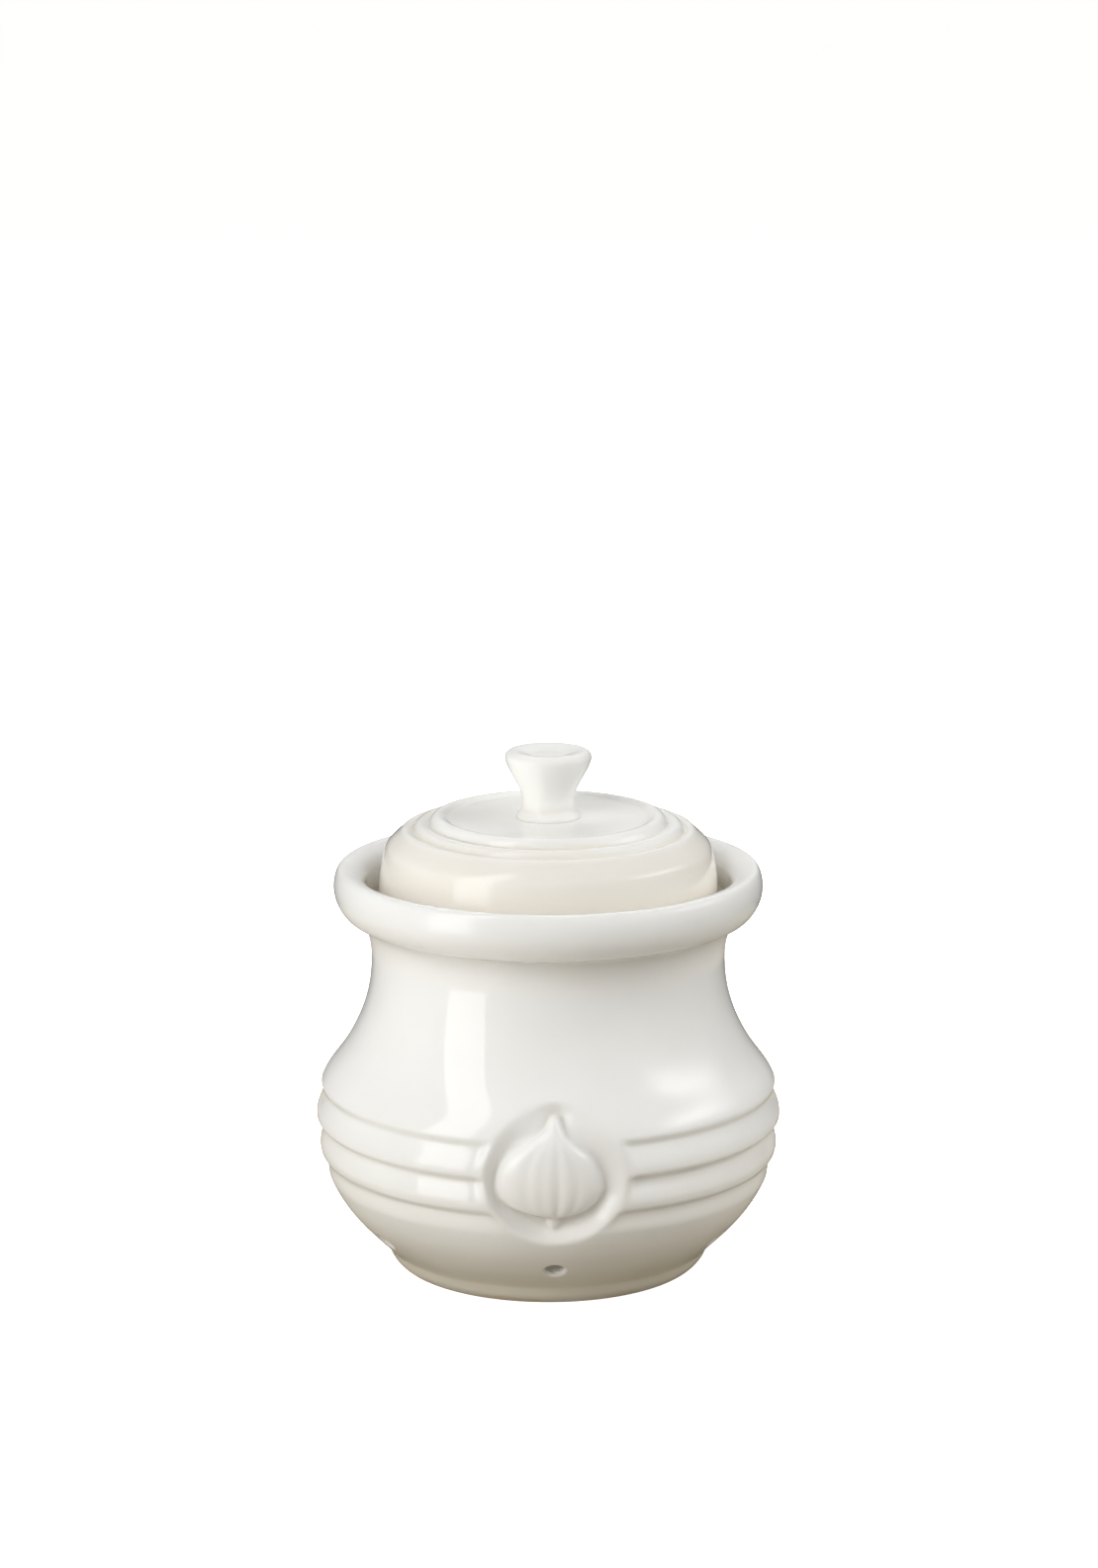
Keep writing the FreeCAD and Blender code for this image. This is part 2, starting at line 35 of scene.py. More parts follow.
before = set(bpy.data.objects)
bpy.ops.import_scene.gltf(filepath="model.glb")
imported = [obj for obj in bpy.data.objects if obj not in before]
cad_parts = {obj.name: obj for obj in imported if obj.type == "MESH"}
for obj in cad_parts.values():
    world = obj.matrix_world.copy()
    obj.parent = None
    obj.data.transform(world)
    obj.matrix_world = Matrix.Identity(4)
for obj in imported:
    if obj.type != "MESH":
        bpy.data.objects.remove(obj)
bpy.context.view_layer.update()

MM = 0.001
TINY = 1e-6  # keeps a division away from zero
FAR = 99.0  # longer than any distance that matters
_, pot_high = (np.array(corner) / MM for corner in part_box("pot"))
lid_low, lid_high = (np.array(corner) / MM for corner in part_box("lid"))
knob_low, knob_high = (np.array(corner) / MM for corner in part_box("knob"))


# ---- Sizes: the pot

POT_HEIGHT = pot_high[2]
SKIN_GAP = 0.02  # how far the belly's skin stays inside the solid
BELLY_RADIUS = pot_high[0] - SKIN_GAP
BELLY_HEIGHT = 43.0
BELLY_START = 48.0  # degrees from level at which the belly leaves the foot
WALL = 5.2
WAIST = (BELLY_RADIUS - 9.5, BELLY_HEIGHT + 21.0)  # where the S-curve turns
WAIST_LEAN = 28.6  # degrees that the wall leans inwards there

FOOT_RADIUS = 40.2
FOOT_HEIGHT = 5.3
FOOT_CREASE = (FOOT_RADIUS + 4.0, FOOT_HEIGHT)  # where the foot flares into the belly
FOOT_BULGE = 0.75
FOOT_LAND = 4.0
FOOT_HOLLOW = 1.8
FLOOR_RADIUS = 31.0
FLOOR_HEIGHT = FOOT_HOLLOW + 5.7

BORE_RADIUS = 42.6
NECK_RADIUS = BORE_RADIUS + 5.5
SEAT_HEIGHT = POT_HEIGHT - 10.0
NECK_HEIGHT = SEAT_HEIGHT - 14.2
COVE_WIDTH = 5.0
MOUTH_RADIUS = BORE_RADIUS + 6.9
MOUTH_ROUND = 4.5  # how far under the rim's crest its inner round starts
RIM_RADIUS = MOUTH_RADIUS + 8.8
RIM_CREST_RADIUS = RIM_RADIUS - 2.0
RIM_SIDE_HEIGHT = POT_HEIGHT - 5.1
RIM_SIDE_ROUND = 10.2
RIM_UNDERCUT = 7.6
RIM_STEP = 0.8

# Handles of the Bezier curves, as shares of a curve's rise or reach
BELLY_HANDLES = (0.243, 0.605)
SHOULDER_HANDLES = (0.543, 0.506)
NECK_HANDLES = (0.452, 0.282)
COVE_HANDLES = (0.44, 0.62)
BOWL_HANDLES = (0.44, 0.56)
RIM_HANDLE = 0.48
POT_SOFTNESS = 0.55  # how far the glaze softens sharp turns of the outline

# Stepped ribs: height, step inwards, how far below it the wall is back on the belly's curve
RIB_STEPS = (
    (50.4, 1.40, 6.6),
    (40.6, 1.80, 6.2),
    (31.0, 1.00, 5.0),
)
RIB_STEP_WIDTH = 2.4
RIB_FADE = (18.3, 22.0)  # distance from the medallion's centre where the ribs fade in

MEDALLION_HEIGHT = 41.4
MEDALLION_DEPTH = 3.7
MEDALLION_LIP = 19.4  # radius of its rounded lip
MEDALLION_WALL = 4.2  # width of its sloped wall, where the bulb leaves room for it
LEAST_WALL = 0.5
MEDALLION_LEAN = 4.6  # how much wider the wall is towards the upper right
MEDALLION_ROOM = 3.4  # room between lip and bulb that its full depth takes
RELIEF_SPAN = 24.0
RELIEF_STEP = 0.1
RELIEF_BLUR = 0.5
ROOM_BLUR = 1.2

# The garlic bulb from its neck down: height from the medallion's centre, reach to the left
# and to the right, how far its middle lies under the belly's curve
BULB_ROWS = (
    (16.6, 1.2, 1.0, 1.3),
    (15.6, 1.9, 1.5, 0.9),
    (14.2, 2.5, 1.8, 0.6),
    (12.0, 5.2, 2.6, 0.45),
    (9.8, 8.1, 4.9, 0.35),
    (8.1, 10.4, 7.0, 0.3),
    (5.9, 13.2, 9.5, 0.25),
    (3.4, 15.2, 11.4, 0.2),
    (0.4, 16.4, 12.9, 0.2),
    (-2.0, 17.0, 13.6, 0.2),
    (-4.5, 16.9, 13.6, 0.25),
    (-6.9, 15.9, 12.6, 0.4),
    (-8.9, 14.0, 11.0, 0.55),
    (-10.5, 11.0, 8.8, 0.8),
    (-11.6, 7.4, 6.2, 1.3),
    (-12.4, 3.4, 3.0, 2.2),
)
BULB_EDGE_STEPS = 60  # heights at which the distance to its edge is taken
BULB_ROUNDNESS = 2.2
BULB_EDGE = 0.55
CLOVE_CREASES = (-0.47, -0.22, 0.04, 0.41)  # shares of the bulb's reach to either side
CREASE_DEPTHS = (0.38, 0.26, 0.52, 0.52)
CREASE_WIDTH = 0.085
CREASE_FADE = 6.0  # length over which the creases fade in under the bulb's tip
ROOT = (-14.3, -0.3, 2.1, 1.3)  # height and place across, radius, relief

# Strength of cream glaze and painted shade in rib valleys and medallion, and of painted shade in
# the gallery
RIB_POOL_AND_SHADE = 0.38
MEDALLION_POOL_AND_SHADE = 0.4
GALLERY_SHADE = 0.35
GALLERY_DROP = 3.5  # how far under the rim's crest the gallery's painted shade starts
GALLERY_FADE = 3.0  # length over which it reaches its full strength
POOL_AND_SHADE_REACH = 1.5  # how wide a neighbourhood ribs and medallion are judged against

VENT_COUNT = 6
VENT_HEIGHT = 12.6
VENT_RADIUS = 2.4
VENT_ROUND = 1.2  # rounding of its outer mouth
VENT_INNER_ROUND = 0.8
VENT_REACH = 50.9  # the pot's radius at the vents' height
VENT_CELLS = 6  # cells dropped each way from a vent's middle
VENT_PATCH = 4.2  # radius of the ring of cells round a vent
VENT_WINDOW = 7.0  # reach of the cells that bend to meet it
WINDOW_ROWS = 11  # rows each way in that window
MOUTH_RINGS = 6  # rings of points over the rounding of a vent's mouth
MOUTH_THIN_AND_LIT = -0.3  # hollowness of the mouth's rounding: whiter glaze, partly thin glaze and partly painted light
BORE_THIN_AND_LIT = -0.2  # and of the bore behind it

# Columns of the pot's mesh
FRONT_COLUMNS = 61  # fine columns to each side of the front
FRONT_CELLS = 13  # cells dropped each way across the front vent
SIDE_SWEEP = 7.88  # degrees to each side of another vent
SIDE_COLUMNS = 10  # columns in that sweep
COLUMN_SWEEP = 1.43  # degrees between the remaining columns

# Rows of the meshes: finest and coarsest spacing, radians that the outline turns from row to row
POT_ROWS = (0.3, 2.2, 0.10)
LID_ROWS = (0.25, 1.6, 0.09)
KNOB_ROWS = (0.2, 0.8, 0.09)
VENT_ROW_STEP = 0.7
BELLY_ROW_STEP = 0.38
WAIST_MARGIN = 2.0  # how far under the waist the belly's even rows end
LID_COLUMNS = 256
KNOB_COLUMNS = 128


# ---- Sizes: the lid and the knob

LID_RADIUS = lid_high[0]
DISC_HEIGHT = knob_low[2]
LID_WALL = 5.0
LID_SIDE_HEIGHT = 15.8  # from the seat to where the side turns in
LID_SIDE_TAPER = 1.9
LID_SIDE_BULGE = 0.85
LID_TURN_BULGE = 0.2
LID_HANDLE = 0.7
LID_SOFTNESS = 0.75
SKIRT_RADIUS = BORE_RADIUS - 1.2
SKIRT_WALL = 3.4
SKIRT_LOW = lid_low[2]
# Places on the lid's top: how far inside its radius and how far under the disc
CREASE_INSETS = (18.6, 13.7, 9.0)
CREASE_DROPS = (0.35, 1.9, 3.7)
SHOULDER_CREST = (7.7, 2.7)
SHOULDER_BREAK = (5.7, 4.0)
DISC_EDGE_WIDTH = 0.9
RING_SWELL = 2.1
BAND_SWELL = 1.6

KNOB_RADIUS = knob_high[0]
KNOB_HEIGHT = knob_high[2] - DISC_HEIGHT
KNOB_HEAD_HEIGHT = 16.5
KNOB_STEM_RADIUS = 7.1
KNOB_STEM_HEIGHT = 5.2
KNOB_FOOT_HEIGHT = 3.4
COLLAR_RADIUS = 8.7  # the roll at the knob's foot
COLLAR_HEIGHT = 0.8
COLLAR_SINK = 0.3
COLLAR_TUCK = 0.4  # how far its foot lies inside its radius
COLLAR_BULGE = 0.2
COLLAR_HANDLE = (0.5, 0.8)
KNOB_CROWN_RADIUS = 9.6
KNOB_DISH_DEPTH = 1.1
KNOB_DISH_RADIUS = 4.0
KNOB_STEM_HANDLES = (0.6, 0.28)
KNOB_HEAD_CORNER = (0.05, 0.3)
KNOB_CROWN_HANDLE = 0.6
KNOB_DISH_HANDLE = 0.4
KNOB_SOFTNESS = 0.4


# ---- Drawing outlines

def at(radius, height):
    return np.array([float(radius), float(height)])


def heading(degrees, length):
    """A step in a direction counted from outwards to upwards."""
    angle = math.radians(degrees)
    return at(length * math.cos(angle), length * math.sin(angle))


def line(start, end):
    share = np.linspace(0, 1, 40)[:, None]
    return start + (end - start) * share


def path(*corners):
    """Straight lines from corner to corner."""
    return np.concatenate([line(*pair) for pair in zip(corners, corners[1:])])


def curve(start, first, second, end):
    """A cubic Bezier curve."""
    t = np.linspace(0, 1, 240)[:, None]
    u = 1 - t
    return u ** 3 * start + 3 * u * u * t * first + 3 * u * t * t * second + t ** 3 * end


def bend(start, middle, end):
    """A quadratic Bezier curve."""
    return curve(start, start + (middle - start) * 2 / 3, end + (middle - end) * 2 / 3, end)


def arc(centre, radius, start_degrees, end_degrees):
    angles = np.radians(np.linspace(start_degrees, end_degrees, 120))
    return centre + radius * np.stack([np.cos(angles), np.sin(angles)], 1)


def through(start, middle, end):
    """The circular arc through three points."""
    matrix = 2 * np.array([middle - start, end - start])
    sides = np.array([middle @ middle - start @ start, end @ end - start @ start])
    centre = np.linalg.solve(matrix, sides)
    first, between, last = (math.degrees(math.atan2(*(point - centre)[::-1]))
                            for point in (start, middle, end))
    sweep = (last - first) % 360
    if (between - first) % 360 > sweep:
        sweep -= 360
    return arc(centre, np.linalg.norm(start - centre), first, first + sweep)


def bulged(start, end, bulge):
    """An arc that stands off its chord by the bulge, to the right of start to end."""
    chord = end - start
    side = at(chord[1], -chord[0]) / np.linalg.norm(chord)
    return through(start, (start + end) / 2 + side * bulge, end)


def bell(softness, step):
    """Weights of a bell curve in even steps, and how many steps it reaches each way."""
    reach = int(4 * softness / step)
    offsets = np.arange(-reach, reach + 1) * step
    weights = np.exp(-0.5 * (offsets / softness) ** 2)
    return reach, weights / weights.sum()


class Outline:
    """A turned outline, from the axis underneath, up the outside and back to the axis."""

    STEP = 0.1
    HOLLOW_REACH = 1.6  # how wide a neighbourhood its hollows are judged against
    EVENED = 7  # stations to each side that a row spacing is averaged with

    def __init__(self, parts, softness):
        points = np.concatenate(parts)
        keep = np.r_[True, np.linalg.norm(np.diff(points, axis=0), axis=1) > TINY]
        points = points[keep]
        along = self.lengths(points)
        self.s = np.linspace(0, along[-1], int(along[-1] / self.STEP))
        points = self.sample(self.s, along, points)
        self.sharp = points
        self.points = self.softened(points, softness)
        step = np.gradient(self.points, self.s, axis=0)
        length = np.linalg.norm(step, axis=1)[:, None]
        self.outward = np.stack([step[:, 1], -step[:, 0]], 1) / length
        slope = np.unwrap(np.arctan2(step[:, 1], step[:, 0]))
        self.turning = np.abs(np.gradient(slope, self.s))
        wide = self.softened(self.points, self.HOLLOW_REACH)
        self.hollow = ((wide - self.points) * self.outward).sum(1)

    @staticmethod
    def lengths(points):
        return np.r_[0, np.cumsum(np.linalg.norm(np.diff(points, axis=0), axis=1))]

    @staticmethod
    def sample(where, along, values):
        return np.stack([np.interp(where, along, values[:, k]) for k in range(2)], 1)

    def softened(self, points, softness):
        """The points averaged with their neighbours; both ends mirror across the axis."""
        reach, weights = bell(softness, self.STEP)
        flip = np.array([-1, 1])
        before = points[reach:0:-1] * flip
        after = points[-2:-reach - 2:-1] * flip
        padded = np.concatenate([before, points, after])
        return np.stack([np.convolve(padded[:, k], weights, "valid") for k in range(2)], 1)

    def place(self, s):
        return self.sample(s, self.s, self.points)

    def normal(self, s):
        return self.sample(s, self.s, self.outward)

    def nearest(self, point):
        """The station nearest to a point."""
        return self.s[np.argmin(np.linalg.norm(self.sharp - point, axis=1))]

    def rows(self, finest, coarsest, turn, windows=()):
        """Stations, closer where the outline bends; a window has its own even spacing."""
        spacing = np.clip(turn / np.maximum(self.turning, TINY), finest, coarsest)
        width = 2 * self.EVENED + 1
        near = np.ones(width) / width
        spacing = np.convolve(np.pad(spacing, self.EVENED, "edge"), near, "valid")
        density = np.r_[0, np.cumsum(0.5 * (1 / spacing[1:] + 1 / spacing[:-1]) * np.diff(self.s))]
        stations = []
        start = 0.0
        for low, high, cell in sorted(windows) + [(self.s[-1], self.s[-1], 1)]:
            first, last = np.interp((start, low), self.s, density)
            count = max(1, int(round(last - first))) if low > start else 0
            stations.append(np.interp(np.linspace(first, last, count + 1)[:-1], density, self.s))
            count = int(round((high - low) / cell))
            if count:
                stations.append(np.linspace(low, high, count + 1)[:-1])
            start = high
        return np.concatenate(stations + [[self.s[-1]]])[1:-1]


# ---- Turned meshes

def smooth_step(value):
    """0 below 0, 1 above 1, and an S-curve between them."""
    value = np.clip(value, 0, 1)
    return value * value * (3 - 2 * value)


def turn_point(radius, angle, height):
    """A point at an angle from the front, counted towards +X."""
    return np.stack([radius * np.sin(angle), -radius * np.cos(angle), height], -1)


def linked(name, data):
    made = bpy.data.objects.new(name, data)
    bpy.context.scene.collection.objects.link(made)
    return made


def new_object(name, points, faces, material):
    """An object with one mesh, whose points are given in millimetres."""
    mesh = bpy.data.meshes.new(name)
    mesh.from_pydata((points * MM).tolist(), [], faces)
    mesh.materials.append(material)
    return linked(name, mesh)


def add_piece(name, points, faces, hollow, body, node, material):
    """A smooth piece, with its points' hollowness kept for the glaze's cream, painted shade and
    painted light.
    """
    piece = new_object(name, points, faces, material)
    mesh = piece.data
    mesh.polygons.foreach_set("use_smooth", [True] * len(mesh.polygons))
    # Hollows get cream glaze and painted shade from this attribute, edges a whiter glaze that is
    # partly painted light.
    attribute = mesh.attributes.new("pool_and_shade", "FLOAT", "POINT")
    attribute.data.foreach_set("value", hollow.astype(np.float32))
    mesh.update()
    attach(piece, body)
    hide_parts(node)


def grid_faces(row_count, per_row, dropped=()):
    """Quads of a grid that closes on itself sideways."""
    faces = []
    for i in range(row_count - 1):
        for j in range(per_row):
            if (i, j) in dropped:
                continue
            k = (j + 1) % per_row
            faces.append((i * per_row + j, i * per_row + k,
                          (i + 1) * per_row + k, (i + 1) * per_row + j))
    return faces


def cap_faces(row_count, per_row, low_pole, high_pole):
    """Triangles from the first and last rows to the points on the axis."""
    last = (row_count - 1) * per_row
    faces = []
    for j in range(per_row):
        k = (j + 1) % per_row
        faces.append((low_pole, k, j))
        faces.append((high_pole, last + j, last + k))
    return faces


def turned_piece(name, outline, spacing, per_row, body, node, material):
    """A piece that is the same all the way round."""
    stations = outline.rows(*spacing)
    angles = np.arange(per_row) * math.tau / per_row
    places = outline.place(stations)
    points = turn_point(places[:, None, 0], angles[None, :], places[:, None, 1] + 0 * angles)
    points = points.reshape(-1, 3)
    hollow = np.repeat(np.interp(stations, outline.s, outline.hollow), per_row)
    poles = np.array([[0, 0, outline.points[0, 1]], [0, 0, outline.points[-1, 1]]])
    ends = [outline.hollow[0], outline.hollow[-1]]
    faces = grid_faces(len(stations), per_row)
    faces += cap_faces(len(stations), per_row, len(points), len(points) + 1)
    add_piece(name, np.concatenate([points, poles]), faces, np.r_[hollow, ends],
              body, node, material)


# ---- The pot

def belly_parts(inset):
    """The foot's crease to the widest circle, then to the turn of the S-curve."""
    rise = BELLY_HEIGHT - FOOT_HEIGHT
    crease = at(*FOOT_CREASE) - heading(BELLY_START - 90, inset)
    crest = at(BELLY_RADIUS - inset, BELLY_HEIGHT)
    waist = at(*WAIST) - heading(WAIST_LEAN, inset)
    climb = WAIST[1] - BELLY_HEIGHT
    belly = curve(crease, crease + heading(BELLY_START, BELLY_HANDLES[0] * rise),
                  crest - at(0, BELLY_HANDLES[1] * rise), crest)
    shoulder = curve(crest, crest + at(0, SHOULDER_HANDLES[0] * climb),
                     waist - heading(90 + WAIST_LEAN, SHOULDER_HANDLES[1] * climb), waist)
    return belly, shoulder


def neck_part(inset, radius):
    """From the turn of the S-curve up to the straight neck."""
    waist = at(*WAIST) - heading(WAIST_LEAN, inset)
    neck = at(radius, NECK_HEIGHT)
    rise = neck[1] - waist[1]
    return curve(waist, waist + heading(90 + WAIST_LEAN, NECK_HANDLES[0] * rise),
                 neck - at(0, NECK_HANDLES[1] * rise), neck)


def rim_quarter(side):
    """From a point on the rim's side up to its crest."""
    crest = at(RIM_CREST_RADIUS, POT_HEIGHT)
    rise = RIM_HANDLE * (crest[1] - side[1])
    reach = RIM_HANDLE * (crest[0] - side[0])
    return curve(side, side + at(0, rise), crest - at(reach, 0), crest)


def pot_outline():
    """The pot without ribs and medallion: under the foot, up the outside, down the bore."""
    land_inner = FOOT_RADIUS - FOOT_LAND
    roll_end = -math.degrees(math.asin(RIM_UNDERCUT / RIM_SIDE_ROUND))
    side_centre = at(RIM_RADIUS - RIM_SIDE_ROUND, RIM_SIDE_HEIGHT)
    roll_edge = side_centre + heading(roll_end, RIM_SIDE_ROUND)
    neck = at(NECK_RADIUS, NECK_HEIGHT)
    cove_top = at(NECK_RADIUS + COVE_WIDTH, roll_edge[1] - RIM_STEP)
    cove = curve(neck, neck + at(0, COVE_HANDLES[0] * (cove_top[1] - neck[1])),
                 cove_top - at(COVE_HANDLES[1] * COVE_WIDTH, 0), cove_top)
    mouth_top = at(MOUTH_RADIUS, POT_HEIGHT - MOUTH_ROUND)
    floor_edge = at(FLOOR_RADIUS, FLOOR_HEIGHT)
    crest = at(BELLY_RADIUS - WALL, BELLY_HEIGHT)
    reach = BOWL_HANDLES[0] * (crest[0] - floor_edge[0])
    rise = BOWL_HANDLES[1] * (crest[1] - floor_edge[1])
    bowl = curve(floor_edge, floor_edge + at(reach, 0), crest - at(0, rise), crest)
    belly, shoulder = belly_parts(0)
    inner_shoulder = belly_parts(WALL)[1]
    return Outline([
        path(at(0, FOOT_HOLLOW), at(land_inner - FOOT_HOLLOW, FOOT_HOLLOW),
             at(land_inner, 0), at(FOOT_RADIUS, 0)),
        bulged(at(FOOT_RADIUS, 0), at(*FOOT_CREASE), FOOT_BULGE),
        belly, shoulder, neck_part(0, NECK_RADIUS), cove,
        line(cove_top, roll_edge),
        arc(side_centre, RIM_SIDE_ROUND, roll_end, 0),
        rim_quarter(at(RIM_RADIUS, RIM_SIDE_HEIGHT)),
        rim_quarter(mouth_top)[::-1],
        path(mouth_top, at(MOUTH_RADIUS, SEAT_HEIGHT), at(BORE_RADIUS, SEAT_HEIGHT),
             at(BORE_RADIUS, NECK_HEIGHT)),
        neck_part(WALL, BORE_RADIUS)[::-1],
        inner_shoulder[::-1], bowl[::-1],
        line(floor_edge, at(0, FLOOR_HEIGHT)),
    ], POT_SOFTNESS)


def blurred(image, softness):
    """An even grid smoothed both ways."""
    reach, weights = bell(softness, RELIEF_STEP)
    for axis in (0, 1):
        rows = np.pad(image, [(reach, reach) if k == axis else (0, 0) for k in (0, 1)], "edge")
        image = np.apply_along_axis(lambda row: np.convolve(row, weights, "valid"), axis, rows)
    return image


def bulb_distance(up, across, heights, lefts, rights):
    """How far each point of the grid lies from the bulb's edge."""
    steps = np.linspace(heights[0], heights[-1], BULB_EDGE_STEPS)
    ends = zip(steps, np.interp(steps, heights, lefts), np.interp(steps, heights, rights))
    nearest = np.full(up.shape, FAR)
    for height, left, right in ends:
        for edge in (-left, 0.0, right):
            nearest = np.minimum(nearest, np.hypot(up - height, across - edge))
    return nearest


def medallion_relief():
    """Heights of the sunk medallion and its garlic bulb, on an even grid of (height, across)."""
    span = np.arange(-RELIEF_SPAN, RELIEF_SPAN + RELIEF_STEP / 2, RELIEF_STEP)
    up, across = np.meshgrid(span, span, indexing="ij")
    distance = np.hypot(up, across)
    heights, lefts, rights, sinks = (np.array(column)[::-1] for column in zip(*BULB_ROWS))
    reach = np.where(across < 0, np.interp(up, heights, lefts), np.interp(up, heights, rights))
    share = across / reach
    inside = (np.abs(share) < 1) & (up < heights[-1]) & (up > heights[0])
    to_lip = np.maximum(MEDALLION_LIP - distance, 0)
    to_bulb = np.where(inside, 0, bulb_distance(up, across, heights, lefts, rights))
    lean = np.clip((up + across) / np.maximum(distance, 1) / math.sqrt(2), 0, 1)
    room = blurred(to_lip + to_bulb, ROOM_BLUR)
    wall = np.minimum(room, MEDALLION_WALL + MEDALLION_LEAN * lean)
    depth = MEDALLION_DEPTH * smooth_step(room / MEDALLION_ROOM)
    relief = -depth * smooth_step(to_lip / np.maximum(wall, LEAST_WALL))
    dome = np.clip(1 - np.abs(share) ** BULB_ROUNDNESS, 0, 1) ** BULB_EDGE
    crown = -np.interp(up, heights, sinks)
    fade = smooth_step((heights[-1] - up) / CREASE_FADE)
    for crease, crease_depth in zip(CLOVE_CREASES, CREASE_DEPTHS):
        crown = crown - crease_depth * fade * np.exp(-((share - crease) / CREASE_WIDTH) ** 2)
    bulb = -depth * (1 - dome) + crown * dome
    relief = np.where(inside, np.maximum(bulb, relief), relief)
    root_up, root_across, root_radius, root_swell = ROOT
    stub = np.hypot(up - root_up, across - root_across) / root_radius
    relief = relief + root_swell * np.sqrt(np.clip(1 - stub ** 2, 0, 1))
    return span, blurred(relief, RELIEF_BLUR)


def read_grid(span, image, up, across):
    """Bilinear samples of a relief grid."""
    top = len(span) - 1.001  # just inside the last cell
    row = np.clip((up - span[0]) / RELIEF_STEP, 0, top)
    column = np.clip((across - span[0]) / RELIEF_STEP, 0, top)
    i = row.astype(int)
    j = column.astype(int)
    v = row - i
    u = column - j
    low = image[i, j] * (1 - u) + image[i, j + 1] * u
    high = image[i + 1, j] * (1 - u) + image[i + 1, j + 1] * u
    return low * (1 - v) + high * v


def rib_relief(height):
    """How far the wall stands off the belly's curve at a height; below zero is inside it."""
    relief = np.zeros_like(height)
    for step_height, depth, run_out in RIB_STEPS:
        below = step_height - height
        stepped = smooth_step(below / RIB_STEP_WIDTH + 0.5)
        eased = smooth_step((below - RIB_STEP_WIDTH / 2) / run_out)
        relief -= depth * stepped * (1 - eased)
    return relief


class PotSkin:
    """The pot's surface, found from a station along its outline and an angle from the front."""

    def __init__(self):
        self.outline = pot_outline()
        self.span, self.relief = medallion_relief()
        self.hollow = blurred(self.relief, POOL_AND_SHADE_REACH) - self.relief
        heights = self.outline.points[:, 1]
        ribs = rib_relief(heights)
        _, weights = bell(POOL_AND_SHADE_REACH, Outline.STEP)
        self.rib_hollow = np.convolve(ribs, weights, "same") - ribs
        nearest = self.outline.nearest
        self.carved = (nearest(at(*FOOT_CREASE)), nearest(at(*WAIST)))
        self.gallery = (nearest(at(MOUTH_RADIUS, POT_HEIGHT - GALLERY_DROP)),
                        nearest(at(BORE_RADIUS, SEAT_HEIGHT)))

    def place(self, s, angle):
        """Points and hollowness; s and angle are arrays of one shape."""
        flat = s.ravel()
        along = self.outline.place(flat)
        outward = self.outline.normal(flat)
        turn = angle.ravel()
        radius, height = along.T
        across = radius * np.sin(turn)
        up = height - MEDALLION_HEIGHT
        in_front = np.cos(turn) > 0
        distance = np.where(in_front, np.hypot(across, up), FAR)
        carved = (flat > self.carved[0]) & (flat < self.carved[1])
        ribs = smooth_step((distance - RIB_FADE[0]) / (RIB_FADE[1] - RIB_FADE[0])) * carved
        round_it = (distance < RELIEF_SPAN) & carved
        shift = rib_relief(height) * ribs
        shift += np.where(round_it, read_grid(self.span, self.relief, up, across), 0)
        radius = radius + shift * outward[:, 0]
        height = height + shift * outward[:, 1]
        # The glaze's hollowness: hollows of the outline, ribs and medallion gather cream glaze and
        # painted shade.
        hollow = np.interp(flat, self.outline.s, self.outline.hollow)
        hollow += np.interp(flat, self.outline.s, self.rib_hollow) * ribs * RIB_POOL_AND_SHADE
        medallion = read_grid(self.span, self.hollow, up, across) * MEDALLION_POOL_AND_SHADE
        hollow += np.where(round_it, medallion, 0)
        in_gallery = flat < self.gallery[1]
        # Painted shade in the gallery, the gap between lid and rim.
        hollow += GALLERY_SHADE * smooth_step((flat - self.gallery[0]) / GALLERY_FADE) * in_gallery
        points = turn_point(radius, turn, height)
        return points.reshape(s.shape + (3,)), hollow.reshape(s.shape)


def pot_columns():
    """Angles of the pot's columns, and the middle column and half-count of each vent."""
    fine = math.atan2(VENT_PATCH / FRONT_CELLS, VENT_REACH)
    window = math.radians(SIDE_SWEEP)
    angles = list(np.arange(-FRONT_COLUMNS, FRONT_COLUMNS) * fine)
    vents = [(FRONT_COLUMNS, FRONT_CELLS)]
    edge = FRONT_COLUMNS * fine

    def fill(gap):
        count = int(round(gap / math.radians(COLUMN_SWEEP)))
        return list(edge + np.arange(count) * gap / count)

    for index in range(1, VENT_COUNT):
        middle = index * (math.tau / VENT_COUNT)
        angles += fill(middle - window - edge)
        vents.append((len(angles) + SIDE_COLUMNS, VENT_CELLS))
        angles += list(middle - window + np.arange(2 * SIDE_COLUMNS) * window / SIDE_COLUMNS)
        edge = middle + window
    angles += fill(math.tau - FRONT_COLUMNS * fine - edge)
    return np.array(angles), vents


class VentRing:
    """Where the drill meets one face of the wall, and that face's rows round it."""

    def __init__(self, skin, station, rows):
        self.skin = skin
        self.station = station
        self.row = int(np.argmin(np.abs(rows - station)))
        self.radius = skin.outline.place(np.array([station]))[0, 0]

    def bend_rows(self, s_grid, angle_grid, columns, middle_angle):
        """Warps the cells round a vent so that the block to be dropped ends in a circle."""
        near = np.arange(self.row - WINDOW_ROWS, self.row + WINDOW_ROWS + 1)
        window = np.ix_(near, columns)
        up = s_grid[window] - self.station
        turn = angle_grid[window] - middle_angle
        across = turn * self.radius
        square = np.maximum(np.abs(up), np.abs(across)) / VENT_PATCH
        circle = np.hypot(up, across) / VENT_PATCH
        weight = 1 - smooth_step((square - 1) / (VENT_WINDOW / VENT_PATCH - 1))
        scale = weight * square / np.maximum(circle, TINY) + (1 - weight)
        s_new = self.station + up * scale
        local = self.skin.outline.place(s_new.ravel())[:, 0].reshape(s_new.shape)
        local = self.radius + (local - self.radius) * weight
        s_grid[window] = s_new
        angle_grid[window] = middle_angle + across * scale / local

    def loop(self, directions, distance, middle_angle):
        """Stations and angles of a ring at one distance from the vent's middle."""
        up, across = directions.T * distance
        s = self.station + up
        local = self.skin.outline.place(s)[:, 0]
        return s, middle_angle + across / local


